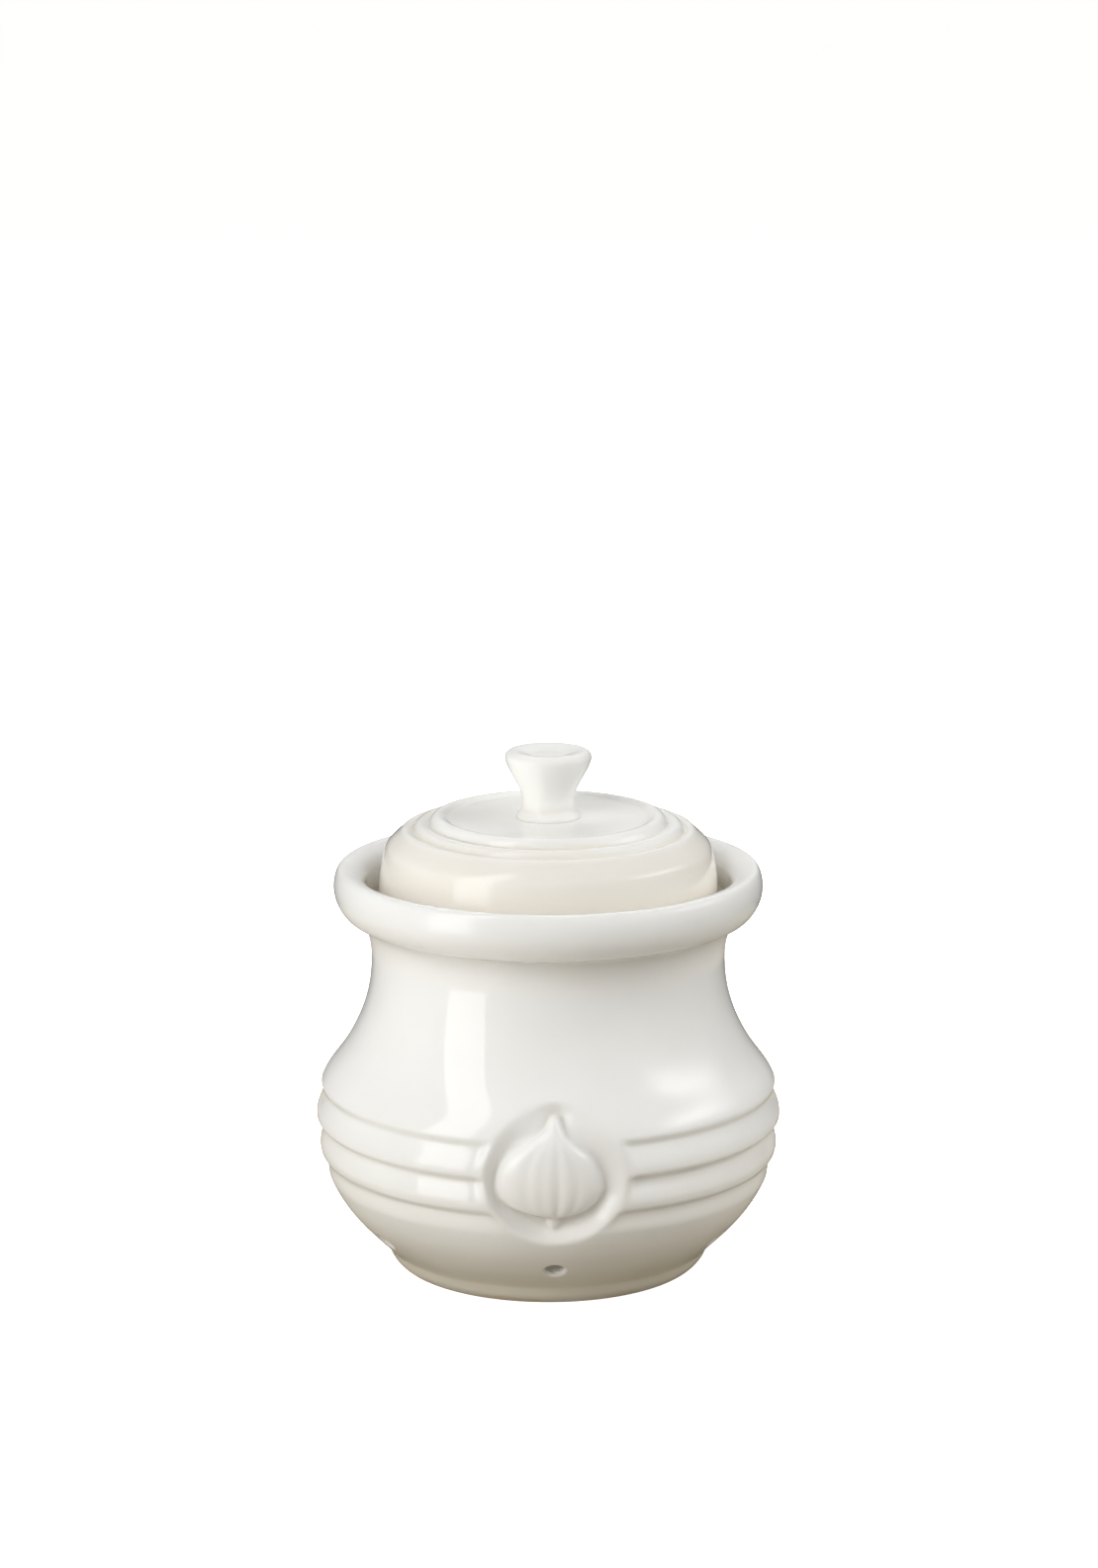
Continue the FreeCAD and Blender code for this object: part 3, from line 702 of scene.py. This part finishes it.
def block_loop(row, half_rows, column, half_columns):
    """(row, column) steps round a block: along its low side first."""
    low, high = row - half_rows, row + half_rows
    left, right = column - half_columns, column + half_columns
    loop = [(low, j) for j in range(left, right)]
    loop += [(i, right) for i in range(low, high)]
    loop += [(high, j) for j in range(right, left, -1)]
    loop += [(i, left) for i in range(high, low, -1)]
    return loop


def vent_stations(outline):
    """The outer and inner stations that a vent's axis runs through, and the axis."""
    outer_side = outline.s < outline.nearest(at(RIM_CREST_RADIUS, POT_HEIGHT))
    height_gap = np.abs(outline.points[:, 1] - VENT_HEIGHT) + FAR * ~outer_side
    height_gap += FAR * (outline.points[:, 0] < FOOT_RADIUS)
    outer = int(np.argmin(height_gap))
    axis = outline.outward[outer]
    offset = outline.points - outline.points[outer]
    aside = np.abs(offset @ at(-axis[1], axis[0])) + FAR * outer_side
    aside += FAR * (np.linalg.norm(offset, axis=1) > 4 * WALL)
    inner = int(np.argmin(aside))
    return outline.s[outer], outline.s[inner], axis


def ring_strip(first, second):
    """Quads between two loops of points with the same count."""
    count = len(first)
    return [(first[k], first[(k + 1) % count], second[(k + 1) % count], second[k])
            for k in range(count)]


def make_pot(material):
    """The pot's skin: a grid of rows and columns with the vents cut through it."""
    skin = PotSkin()
    outline = skin.outline
    outer_s, inner_s, axis = vent_stations(outline)
    belly_high = outline.nearest(at(*WAIST)) - WAIST_MARGIN
    windows = [(s - VENT_WINDOW, s + VENT_WINDOW, VENT_ROW_STEP) for s in (outer_s, inner_s)]
    windows.append((outer_s + VENT_WINDOW, belly_high, BELLY_ROW_STEP))
    rows = outline.rows(*POT_ROWS, windows)
    angles, vents = pot_columns()
    row_count, per_row = len(rows), len(angles)
    s_grid = np.repeat(rows[:, None], per_row, 1)
    angle_grid = np.repeat(angles[None, :], row_count, 0)
    outer, inner = (VentRing(skin, s, rows) for s in (outer_s, inner_s))
    for index, (column, half) in enumerate(vents):
        reach = int(VENT_WINDOW / VENT_PATCH * half) + 2
        columns = np.arange(column - reach, column + reach + 1) % per_row
        middle = index * math.tau / VENT_COUNT
        for ring in (outer, inner):
            ring.bend_rows(s_grid, angle_grid, columns, middle)
    points, hollow = skin.place(s_grid, angle_grid)
    all_points = [points.reshape(-1, 3)]
    all_hollow = [hollow.ravel()]
    count = row_count * per_row
    dropped = set()
    faces = []

    def add_ring(ring_points, ring_hollow):
        """Adds points after the grid's and gives their indices."""
        nonlocal count
        all_points.append(ring_points)
        all_hollow.append(ring_hollow)
        count += len(ring_points)
        return list(range(count - len(ring_points), count))

    def mouth(ring, loop, middle, into, rounding):
        """Rings from the edge of the dropped block to the vent's bore."""
        nonlocal faces
        block_rows, block_columns = np.array(loop).T
        edge_s = s_grid[block_rows, block_columns]
        edge_radius = outline.place(edge_s)[:, 0]
        edge_across = (angle_grid[block_rows, block_columns] - middle) * edge_radius
        steps = np.stack([edge_s - ring.station, edge_across], 1)
        directions = steps / np.linalg.norm(steps, axis=1)[:, None]
        edge = VENT_RADIUS + rounding
        spots = [(edge + (VENT_PATCH - edge) / 2, 0.0)]
        for slant in np.linspace(0, math.pi / 2, MOUTH_RINGS):
            spots.append((VENT_RADIUS + rounding * (1 - math.sin(slant)),
                          rounding * (1 - math.cos(slant))))
        last = [i * per_row + j for i, j in loop]
        for distance, depth in spots:
            ring_points = skin.place(*ring.loop(directions, distance, middle))[0]
            # A whiter glaze on the mouth's rounding, partly painted light.
            thin_and_lit = np.full(len(loop), MOUTH_THIN_AND_LIT if depth > 0 else 0.0)
            fresh = add_ring(ring_points + into * depth, thin_and_lit)
            faces += ring_strip(last, fresh)
            last = fresh
        return last

    for index, (column, half) in enumerate(vents):
        middle = index * math.tau / VENT_COUNT
        into = -turn_point(axis[0], middle, axis[1])
        ends = []
        for ring, direction, rounding in ((outer, 1, VENT_ROUND), (inner, -1, VENT_INNER_ROUND)):
            block = block_loop(ring.row, VENT_CELLS, column, half)
            loop = [(i, j % per_row) for i, j in block]
            for i in range(ring.row - VENT_CELLS, ring.row + VENT_CELLS):
                for j in range(column - half, column + half):
                    dropped.add((i, j % per_row))
            ends.append(mouth(ring, loop, middle, into * direction, rounding))
        last, inner_loop = ends
        # Rows climb on the outside and go down on the inside, so the inner loop is read
        # backwards from the left corner of its last row.
        corner = 4 * half + 2 * VENT_CELLS
        matched = inner_loop[corner::-1] + inner_loop[:corner:-1]
        everything = np.concatenate(all_points)
        start, end = everything[last], everything[matched]
        for share in (0.25, 0.5, 0.75):
            # A whiter glaze in the bore, partly painted light.
            fresh = add_ring(start + (end - start) * share, np.full(len(start), BORE_THIN_AND_LIT))
            faces += ring_strip(last, fresh)
            last = fresh
        faces += ring_strip(last, matched)

    faces += grid_faces(row_count, per_row, dropped)
    faces += cap_faces(row_count, per_row, count, count + 1)
    all_points.append(np.array([[0, 0, FOOT_HOLLOW], [0, 0, FLOOR_HEIGHT]]))
    all_hollow.append(np.zeros(2))
    add_piece("pot_body", np.concatenate(all_points), faces, np.concatenate(all_hollow),
              "pot", "pot", material)


# ---- The lid and the knob

def lid_outline():
    """The lid: its hollow, its skirt and flange, its side and its ringed top."""
    def place(inset, drop):
        return at(LID_RADIUS - inset, DISC_HEIGHT - drop)

    creases = [place(inset, drop) for inset, drop in zip(CREASE_INSETS, CREASE_DROPS)]
    disc_edge = place(CREASE_INSETS[0] + DISC_EDGE_WIDTH, 0)
    slope_start = place(*SHOULDER_BREAK)
    turn = at(LID_RADIUS - LID_SIDE_TAPER, SEAT_HEIGHT + LID_SIDE_HEIGHT)
    skirt_inner = SKIRT_RADIUS - SKIRT_WALL
    side_inner = LID_RADIUS - LID_WALL
    ceiling = DISC_HEIGHT - LID_WALL
    ceiling_edge = at(LID_RADIUS - CREASE_INSETS[0] - LID_WALL, ceiling)
    side_foot = at(side_inner, SEAT_HEIGHT + LID_WALL)
    skirt_top = at(skirt_inner, SEAT_HEIGHT)
    drop = at(0, (ceiling - side_foot[1]) * LID_HANDLE)
    half = at(0, (side_foot[1] - skirt_top[1]) / 2)
    foot = at(LID_RADIUS, SEAT_HEIGHT)
    return Outline([
        line(at(0, ceiling), ceiling_edge),
        curve(ceiling_edge, at((ceiling_edge[0] + side_inner) / 2, ceiling),
              side_foot + drop, side_foot),
        curve(side_foot, side_foot - half, skirt_top + half, skirt_top),
        path(skirt_top, at(skirt_inner, SKIRT_LOW), at(SKIRT_RADIUS, SKIRT_LOW),
             at(SKIRT_RADIUS, SEAT_HEIGHT), foot),
        bulged(foot, turn, LID_SIDE_BULGE),
        bulged(turn, slope_start, LID_TURN_BULGE),
        through(slope_start, place(*SHOULDER_CREST), creases[2]),
        bulged(creases[2], creases[1], BAND_SWELL),
        bulged(creases[1], creases[0], RING_SWELL),
        bend(creases[0], disc_edge + at(DISC_EDGE_WIDTH / 2, 0), disc_edge),
        line(disc_edge, at(0, DISC_HEIGHT)),
    ], LID_SOFTNESS)


def knob_outline():
    """The knob: its collar, its stem, its flared head and its dished crown."""
    def up(radius, rise):
        return at(radius, DISC_HEIGHT + rise)

    head_rise = KNOB_HEAD_HEIGHT - KNOB_STEM_HEIGHT
    crown_rise = KNOB_HEIGHT - KNOB_HEAD_HEIGHT
    collar_foot = up(COLLAR_RADIUS - COLLAR_TUCK, -COLLAR_SINK)
    collar = up(COLLAR_RADIUS, COLLAR_HEIGHT)
    stem_foot = up(KNOB_STEM_RADIUS, KNOB_FOOT_HEIGHT)
    stem = up(KNOB_STEM_RADIUS, KNOB_STEM_HEIGHT)
    head = up(KNOB_RADIUS, KNOB_HEAD_HEIGHT)
    crown = up(KNOB_CROWN_RADIUS, KNOB_HEIGHT)
    dish = up(KNOB_DISH_RADIUS, KNOB_HEIGHT - KNOB_DISH_DEPTH)
    crown_reach = at((KNOB_RADIUS - KNOB_CROWN_RADIUS) * KNOB_CROWN_HANDLE, 0)
    dish_reach = at((KNOB_CROWN_RADIUS - KNOB_DISH_RADIUS) * KNOB_DISH_HANDLE, 0)
    head_corner = head - at(KNOB_RADIUS * KNOB_HEAD_CORNER[0], head_rise * KNOB_HEAD_CORNER[1])
    return Outline([
        line(up(0, -COLLAR_SINK), collar_foot),
        bend(collar_foot, up(COLLAR_RADIUS + COLLAR_BULGE, 0), collar),
        curve(collar, up(COLLAR_RADIUS - COLLAR_HANDLE[0], COLLAR_HEIGHT + COLLAR_HANDLE[1]),
              up(KNOB_STEM_RADIUS, KNOB_FOOT_HEIGHT * KNOB_STEM_HANDLES[0]), stem_foot),
        line(stem_foot, stem),
        curve(stem, stem + at(0, head_rise * KNOB_STEM_HANDLES[1]), head_corner, head),
        curve(head, head + at(0, crown_rise * KNOB_CROWN_HANDLE), crown + crown_reach, crown),
        curve(crown, crown - dish_reach, dish + dish_reach, dish),
        line(dish, up(0, KNOB_HEIGHT - KNOB_DISH_DEPTH)),
    ], KNOB_SOFTNESS)


# ---- Glazes

def shade(value):
    """A colour given as 0 to 255 sRGB, as linear values."""
    channels = [((v / 255 + 0.055) / 1.055) ** 2.4 for v in value]
    return (*channels, 1)


WHITE_GLAZE = shade((243, 243, 241))
# The pot's cream, darker than its glaze to paint shade towards the foot; the mottle uses it too.
CREAM_AND_SHADE_GLAZE = shade((214, 208, 192))
LID_WHITE = shade((244, 244, 241))
LID_TINT = shade((237, 231, 220))
# Cream of glaze pooled in hollows, which also paints shade there; the speckles and the clay use it
# too.
POOLED_AND_SHADED_GLAZE = shade((213, 206, 188))
BARE_CLAY = shade((205, 186, 157))

# Cream by height: height above the table in metres, share of cream; on the pot, cream towards the
# foot is partly painted shade
POT_CREAM_AND_SHADE = ((0.0, 1.0), (0.006, 0.95), (0.012, 0.5), (0.020, 0.2), (0.032, 0.1), (0.044, 0.0))
LID_CREAM = ((0.095, 1.0), (0.101, 0.95), (0.116, 0.85), (0.1215, 0.65), (0.1243, 0.05))
KNOB_CREAM = ((0.1240, 0.4), (0.1280, 0.12), (0.143, 0.0))

# Noises in the glaze and the clay: scale, detail
WANDER_NOISE = (22.0, 2.0)
SPECKLE_NOISE = (900.0, 1.0)
MOTTLE_NOISE = (60.0, 3.0)
PEEL_NOISE = (420.0, 2.0)
SWELL_NOISE = (45.0, 1.0)
GLOSS_NOISE = (90.0, 2.0)
CLAY_NOISE = (700.0, 4.0)

WANDER = 0.010  # metres that the cream's edge wanders up and down
POOL_AND_SHADE_LEVELS = (0.05, 0.8)  # hollowness where cream glaze and painted shade start to gather, and where they are full
THIN_AND_LIT_LEVELS = (-0.04, -0.30)  # the same for whiter glaze on edges, partly thin glaze and partly painted light
THIN_AND_LIT_SHARE = 0.35
SPECKLE_LEVELS = (0.74, 0.80)
SPECKLE_SHARE = 0.10
MOTTLE_SHARE = 0.14
PEEL_HEIGHT = 0.00001  # metres
SWELL_HEIGHT = 0.00035  # metres
GLAZE_ROUGHNESS = 0.02
GLOSS_WANDER = 0.05  # how much rougher the dullest places are
GLAZE_IOR = 1.52
CLAY_ROUGHNESS = 0.85
CLAY_LEVELS = (0.0016, 0.0010)  # metres above the table


class Nodes:
    """A short way to build the node tree of a material or a world."""

    def __init__(self, owner):
        self.owner = owner
        owner.use_nodes = True
        self.tree = owner.node_tree
        self.tree.nodes.clear()

    def add(self, kind, settings=None, **inputs):
        node = self.tree.nodes.new("ShaderNode" + kind)
        for key, value in (settings or {}).items():
            setattr(node, key, value)
        for key, value in inputs.items():
            self.feed(node.inputs[key.replace("_", " ")], value)
        return node

    def feed(self, socket, value):
        """Links a socket to an output, or sets its value."""
        if isinstance(value, bpy.types.NodeSocket):
            self.tree.links.new(value, socket)
        else:
            socket.default_value = value

    def ramp(self, value, low, high):
        """0 at low, 1 at high, smoothly."""
        node = self.add("MapRange", {"interpolation_type": "SMOOTHSTEP"},
                        Value=value, From_Min=low, From_Max=high)
        return node.outputs["Result"]

    def math(self, operation, *values):
        node = self.add("Math", {"operation": operation})
        for socket, value in zip(node.inputs, values):
            self.feed(socket, value)
        return node.outputs[0]

    def mix(self, share, first, second):
        node = self.add("Mix", {"data_type": "RGBA"})
        for index, value in ((0, share), (6, first), (7, second)):
            self.feed(node.inputs[index], value)
        return node.outputs[2]

    def noise(self, scale, detail):
        place = self.add("TexCoord").outputs["Object"]
        node = self.add("TexNoise", Vector=place, Scale=scale, Detail=detail)
        return node.outputs["Fac"]

    def height(self):
        place = self.add("TexCoord").outputs["Object"]
        return self.add("SeparateXYZ", Vector=place).outputs["Z"]


def glaze(name, white, cream_and_shade_tint, height_stops, pooled_and_shaded, foot=False):
    """A glossy white glaze over stoneware. It gathers cream and painted shade in hollows, and
    cream by height.
    """
    nodes = Nodes(bpy.data.materials.new(name))
    height = nodes.height()
    wander = nodes.math("MULTIPLY_ADD", nodes.noise(*WANDER_NOISE), WANDER, -WANDER / 2)
    level = nodes.math("ADD", height, wander)
    ramp = nodes.add("ValToRGB")
    low, high = height_stops[0][0], height_stops[-1][0]
    share = nodes.add("MapRange", Value=level, From_Min=low, From_Max=high)
    nodes.feed(ramp.inputs["Fac"], share.outputs["Result"])
    stops = ramp.color_ramp.elements
    for index, (stop_height, amount) in enumerate(height_stops):
        position = (stop_height - low) / (high - low)
        stop = stops[index] if index < 2 else stops.new(position)
        stop.position = position
        stop.color = (amount, amount, amount, 1)
    # Cream by height; on the pot it also paints shade towards the foot.
    colour = nodes.mix(ramp.outputs["Color"], white, cream_and_shade_tint)
    attribute = nodes.add("Attribute", {"attribute_name": "pool_and_shade"}).outputs["Fac"]
    layers = (
        # Hollows: cream glaze and painted shade.
        (nodes.ramp(attribute, *POOL_AND_SHADE_LEVELS), pooled_and_shaded, POOLED_AND_SHADED_GLAZE),
        # Edges: whiter glaze, partly thin glaze and partly painted light.
        (nodes.ramp(attribute, *THIN_AND_LIT_LEVELS), THIN_AND_LIT_SHARE, white),
        (nodes.ramp(nodes.noise(*SPECKLE_NOISE), *SPECKLE_LEVELS), SPECKLE_SHARE, POOLED_AND_SHADED_GLAZE),
        (nodes.noise(*MOTTLE_NOISE), MOTTLE_SHARE, cream_and_shade_tint),
    )
    for where, most, tint in layers:
        colour = nodes.mix(nodes.math("MULTIPLY", where, most), colour, tint)
    peel = nodes.math("MULTIPLY", nodes.noise(*PEEL_NOISE), PEEL_HEIGHT)
    swell = nodes.math("MULTIPLY", nodes.noise(*SWELL_NOISE), SWELL_HEIGHT)
    surface = nodes.math("ADD", peel, swell)
    bump = nodes.add("Bump", Strength=1.0, Distance=1.0, Height=surface)
    gloss = nodes.math("MULTIPLY_ADD", nodes.noise(*GLOSS_NOISE), GLOSS_WANDER, GLAZE_ROUGHNESS)
    shader = nodes.add("BsdfPrincipled", Base_Color=colour, Roughness=gloss,
                       IOR=GLAZE_IOR, Normal=bump.outputs["Normal"])
    result = shader.outputs[0]
    if foot:
        clay_colour = nodes.mix(nodes.noise(*CLAY_NOISE), BARE_CLAY, POOLED_AND_SHADED_GLAZE)
        clay = nodes.add("BsdfPrincipled", Base_Color=clay_colour, Roughness=CLAY_ROUGHNESS)
        mixed = nodes.add("MixShader", Fac=nodes.ramp(level, *CLAY_LEVELS))
        nodes.feed(mixed.inputs[1], result)
        nodes.feed(mixed.inputs[2], clay.outputs[0])
        result = mixed.outputs[0]
    nodes.add("OutputMaterial", Surface=result)
    return nodes.owner


make_pot(glaze("pot_glaze", WHITE_GLAZE, CREAM_AND_SHADE_GLAZE, POT_CREAM_AND_SHADE, pooled_and_shaded=0.8, foot=True))
turned_piece("lid_shell", lid_outline(), LID_ROWS, LID_COLUMNS, "lid", "lid",
             glaze("lid_glaze", LID_WHITE, LID_TINT, LID_CREAM, pooled_and_shaded=0.6))
turned_piece("lid_knob", knob_outline(), KNOB_ROWS, KNOB_COLUMNS, "lid", "knob",
             glaze("knob_glaze", LID_WHITE, LID_TINT, KNOB_CREAM, pooled_and_shaded=0.6))


# ---- Studio

# Panels seen in the glaze: azimuth from the front to +X, distance, sideways shift and height
# of the middle, width, height, turn about their own axis, strength, share that fades at an edge
REFLECTED_PANELS = (
    ("left_softbox", -75, 800, 330, 1095, 440, 3010, 0, 2.55, 0.02),
    ("right_panel", 90, 800, -110, 540, 1150, 460, -20, 3.5, 0.48),
    ("back_card", 180, 1500, 0, 480, 1700, 1000, 0, 0.45, 0.30),
)
# Soft lights: azimuth from the front to +X, elevation, strength
SOFT_LIGHTS = (
    ("front_left", -35, 35, 0.87),
    ("front_right", 35, 35, 0.12),
    ("front_low", -15, -8, 0.20),
    ("left_low", -70, 3, 0.55),
    ("left_under", -80, -18, 0.42),
    ("right_high", 80, 35, 0.75),
    ("right_low", 90, 5, 0.27),
    ("back_right", 130, 40, 0.18),
    ("back", 180, 45, 0.76),
    ("back_left", -130, 40, 0.24),
)
# A narrow light on the lid and the rim: azimuth, elevation, aim, lit width, strength
TOP_LIGHT = (-20, 25, 104, 150, 3.0)
TOP_LIGHT_SIZE = 0.2  # metres
LIGHT_DISTANCE = 1.3  # metres
LIGHT_SIZE = 0.9  # metres
LIGHT_AIM = 60
WATTS = 10  # a lamp's power for each unit of strength
SKY_COLOUR = (1.0, 0.99, 0.97, 1)
SKY_LIGHT = 0.05
GROUND_LIGHT = 0.025
HORIZON_BLEND = 0.2

PAPER = shade((250, 249, 247))
PAPER_GLOW = 1.0
CARD = shade((160, 150, 130))
PLAIN_ROUGHNESS = 0.9
PAPER_RADIUS = 20000
BACKDROP_RADIUS = 19900
BACKDROP_HEIGHT = 12000
CARD_RADIUS = 330
CARD_HEIGHT = -0.5
CIRCLE_POINTS = 128


def plain_material(name, colour, emission=0.0):
    nodes = Nodes(bpy.data.materials.new(name))
    shader = nodes.add("BsdfPrincipled", Base_Color=colour, Roughness=PLAIN_ROUGHNESS,
                       Emission_Color=colour, Emission_Strength=emission)
    nodes.add("OutputMaterial", Surface=shader.outputs[0])
    return nodes.owner


def panel_material(name, strength, softness):
    """Light that falls off towards the panel's edges."""
    nodes = Nodes(bpy.data.materials.new(name))
    place = nodes.add("TexCoord").outputs["Generated"]
    parts = nodes.add("SeparateXYZ", Vector=place)
    fade = None
    for axis in ("X", "Y"):
        middle = nodes.math("SUBTRACT", parts.outputs[axis], 0.5)
        edge = nodes.ramp(nodes.math("ABSOLUTE", middle), 0.5, 0.5 - softness)
        fade = edge if fade is None else nodes.math("MULTIPLY", fade, edge)
    light = nodes.add("Emission", Color=(1, 1, 1, 1),
                      Strength=nodes.math("MULTIPLY", fade, strength))
    nodes.add("OutputMaterial", Surface=light.outputs[0])
    return nodes.owner


def add_panel(name, azimuth, distance, side, height, width, tall, tilt, strength, softness):
    """An upright lit panel, seen in the glaze only, that faces the axis."""
    angle = math.radians(azimuth)
    outward = np.array([math.sin(angle), -math.cos(angle), 0])
    sideways = np.array([math.cos(angle), math.sin(angle), 0])
    centre = outward * distance + sideways * side + np.array([0, 0, height])
    corners = [(x * width / 2, y * tall / 2, 0) for x, y in ((-1, -1), (1, -1), (1, 1), (-1, 1))]
    lean = Matrix.Rotation(math.radians(tilt), 4, "Z")
    panel = new_object(name, np.array(corners), [(0, 1, 2, 3)],
                       panel_material(name, strength, softness))
    panel.location = centre * MM
    upright = Euler((math.pi / 2, 0, angle)).to_matrix().to_4x4()
    panel.rotation_euler = (upright @ lean).to_euler()
    panel.visible_camera = False
    panel.visible_diffuse = False
    panel.visible_shadow = False


def add_lamp(name, kind, azimuth, elevation, aim_height, strength):
    """A lamp that faces a height on the axis and isn't seen in the glaze."""
    angle = math.radians(azimuth)
    rise = math.radians(elevation)
    light = bpy.data.lights.new(name, kind)
    light.energy = strength * WATTS
    lamp = linked(name, light)
    outward = Vector((math.sin(angle) * math.cos(rise), -math.cos(angle) * math.cos(rise),
                      math.sin(rise)))
    lamp.location = Vector((0, 0, aim_height * MM)) + outward * LIGHT_DISTANCE
    lamp.rotation_euler = outward.to_track_quat("Z", "Y").to_euler()
    lamp.visible_glossy = False
    return light


def add_soft_light(name, azimuth, elevation, strength):
    """A large round light that faces the middle of the object."""
    light = add_lamp(name, "AREA", azimuth, elevation, LIGHT_AIM, strength)
    light.shape = "DISK"
    light.size = LIGHT_SIZE


def add_top_light(azimuth, elevation, aim_height, width, strength):
    """A narrow beam with a soft edge that only reaches the top of the object."""
    light = add_lamp("top_light", "SPOT", azimuth, elevation, aim_height, strength)
    light.spot_size = 2 * math.atan(width * MM / 2 / LIGHT_DISTANCE)
    light.spot_blend = 1.0
    light.shadow_soft_size = TOP_LIGHT_SIZE


def circle(radius):
    """Points round the axis."""
    angles = np.arange(CIRCLE_POINTS) * math.tau / CIRCLE_POINTS
    return np.stack([radius * np.cos(angles), radius * np.sin(angles), 0 * angles], 1)


def add_disc(name, radius, height, material):
    """A flat round sheet that lies at a height."""
    disc = new_object(name, circle(radius), [tuple(range(CIRCLE_POINTS))], material)
    disc.location = (0, 0, height * MM)
    return disc


def add_backdrop(radius, height, material):
    """A round wall that stands near the floor's edge."""
    foot = circle(radius)
    points = np.concatenate([foot, foot + np.array([0, 0, height])])
    backdrop = new_object("backdrop", points, grid_faces(2, CIRCLE_POINTS), material)
    return backdrop


def add_sky():
    """A faint light, a little brighter from above than from below."""
    nodes = Nodes(bpy.data.worlds.new("studio"))
    place = nodes.add("TexCoord").outputs["Generated"]
    parts = nodes.add("SeparateXYZ", Vector=place)
    level = nodes.ramp(parts.outputs["Z"], -HORIZON_BLEND, HORIZON_BLEND)
    level.node.inputs["To Min"].default_value = GROUND_LIGHT
    level.node.inputs["To Max"].default_value = SKY_LIGHT
    background = nodes.add("Background", Color=SKY_COLOUR, Strength=level)
    nodes.add("OutputWorld", Surface=background.outputs[0])
    bpy.context.scene.world = nodes.owner


def add_studio():
    """A pale floor and backdrop that light nothing, and what lights the keeper."""
    paper = plain_material("floor_paper", PAPER, emission=PAPER_GLOW)
    floor = add_disc("floor", PAPER_RADIUS, 0, paper)
    backdrop = add_backdrop(BACKDROP_RADIUS, BACKDROP_HEIGHT, paper)
    for paper_piece in (floor, backdrop):
        paper_piece.visible_glossy = False
        paper_piece.visible_diffuse = False
        paper_piece.visible_shadow = False
    table = add_disc("table_card", CARD_RADIUS, CARD_HEIGHT, plain_material("table_card", CARD))
    table.visible_camera = False
    table.visible_shadow = False
    for panel in REFLECTED_PANELS:
        add_panel(*panel)
    for light in SOFT_LIGHTS:
        add_soft_light(*light)
    add_top_light(*TOP_LIGHT)
    add_sky()


def add_camera():
    """The photograph's view: a little above the rim, the medallion turned slightly right."""
    image_width = 1110
    image_height = 1585
    axis_column = 554.2
    focal_pixels = 4633
    sensor_height = 36
    distance = 1257
    elevation = math.radians(15.83)
    pitch = math.radians(12.558)
    azimuth = math.radians(1.9)
    aim_height = 60
    data = bpy.data.cameras.new("camera")
    data.sensor_fit = "VERTICAL"
    data.sensor_height = sensor_height
    data.lens = focal_pixels / image_height * sensor_height
    data.shift_x = (image_width / 2 - axis_column) / image_height
    camera = linked("camera", data)
    level = distance * math.cos(elevation)
    camera.location = (-level * math.sin(azimuth) * MM, -level * math.cos(azimuth) * MM,
                       (aim_height + distance * math.sin(elevation)) * MM)
    camera.rotation_euler = (math.pi / 2 - pitch, 0, -azimuth)
    bpy.context.scene.camera = camera


add_studio()
add_camera()
bpy.context.scene.view_settings.view_transform = "Standard"
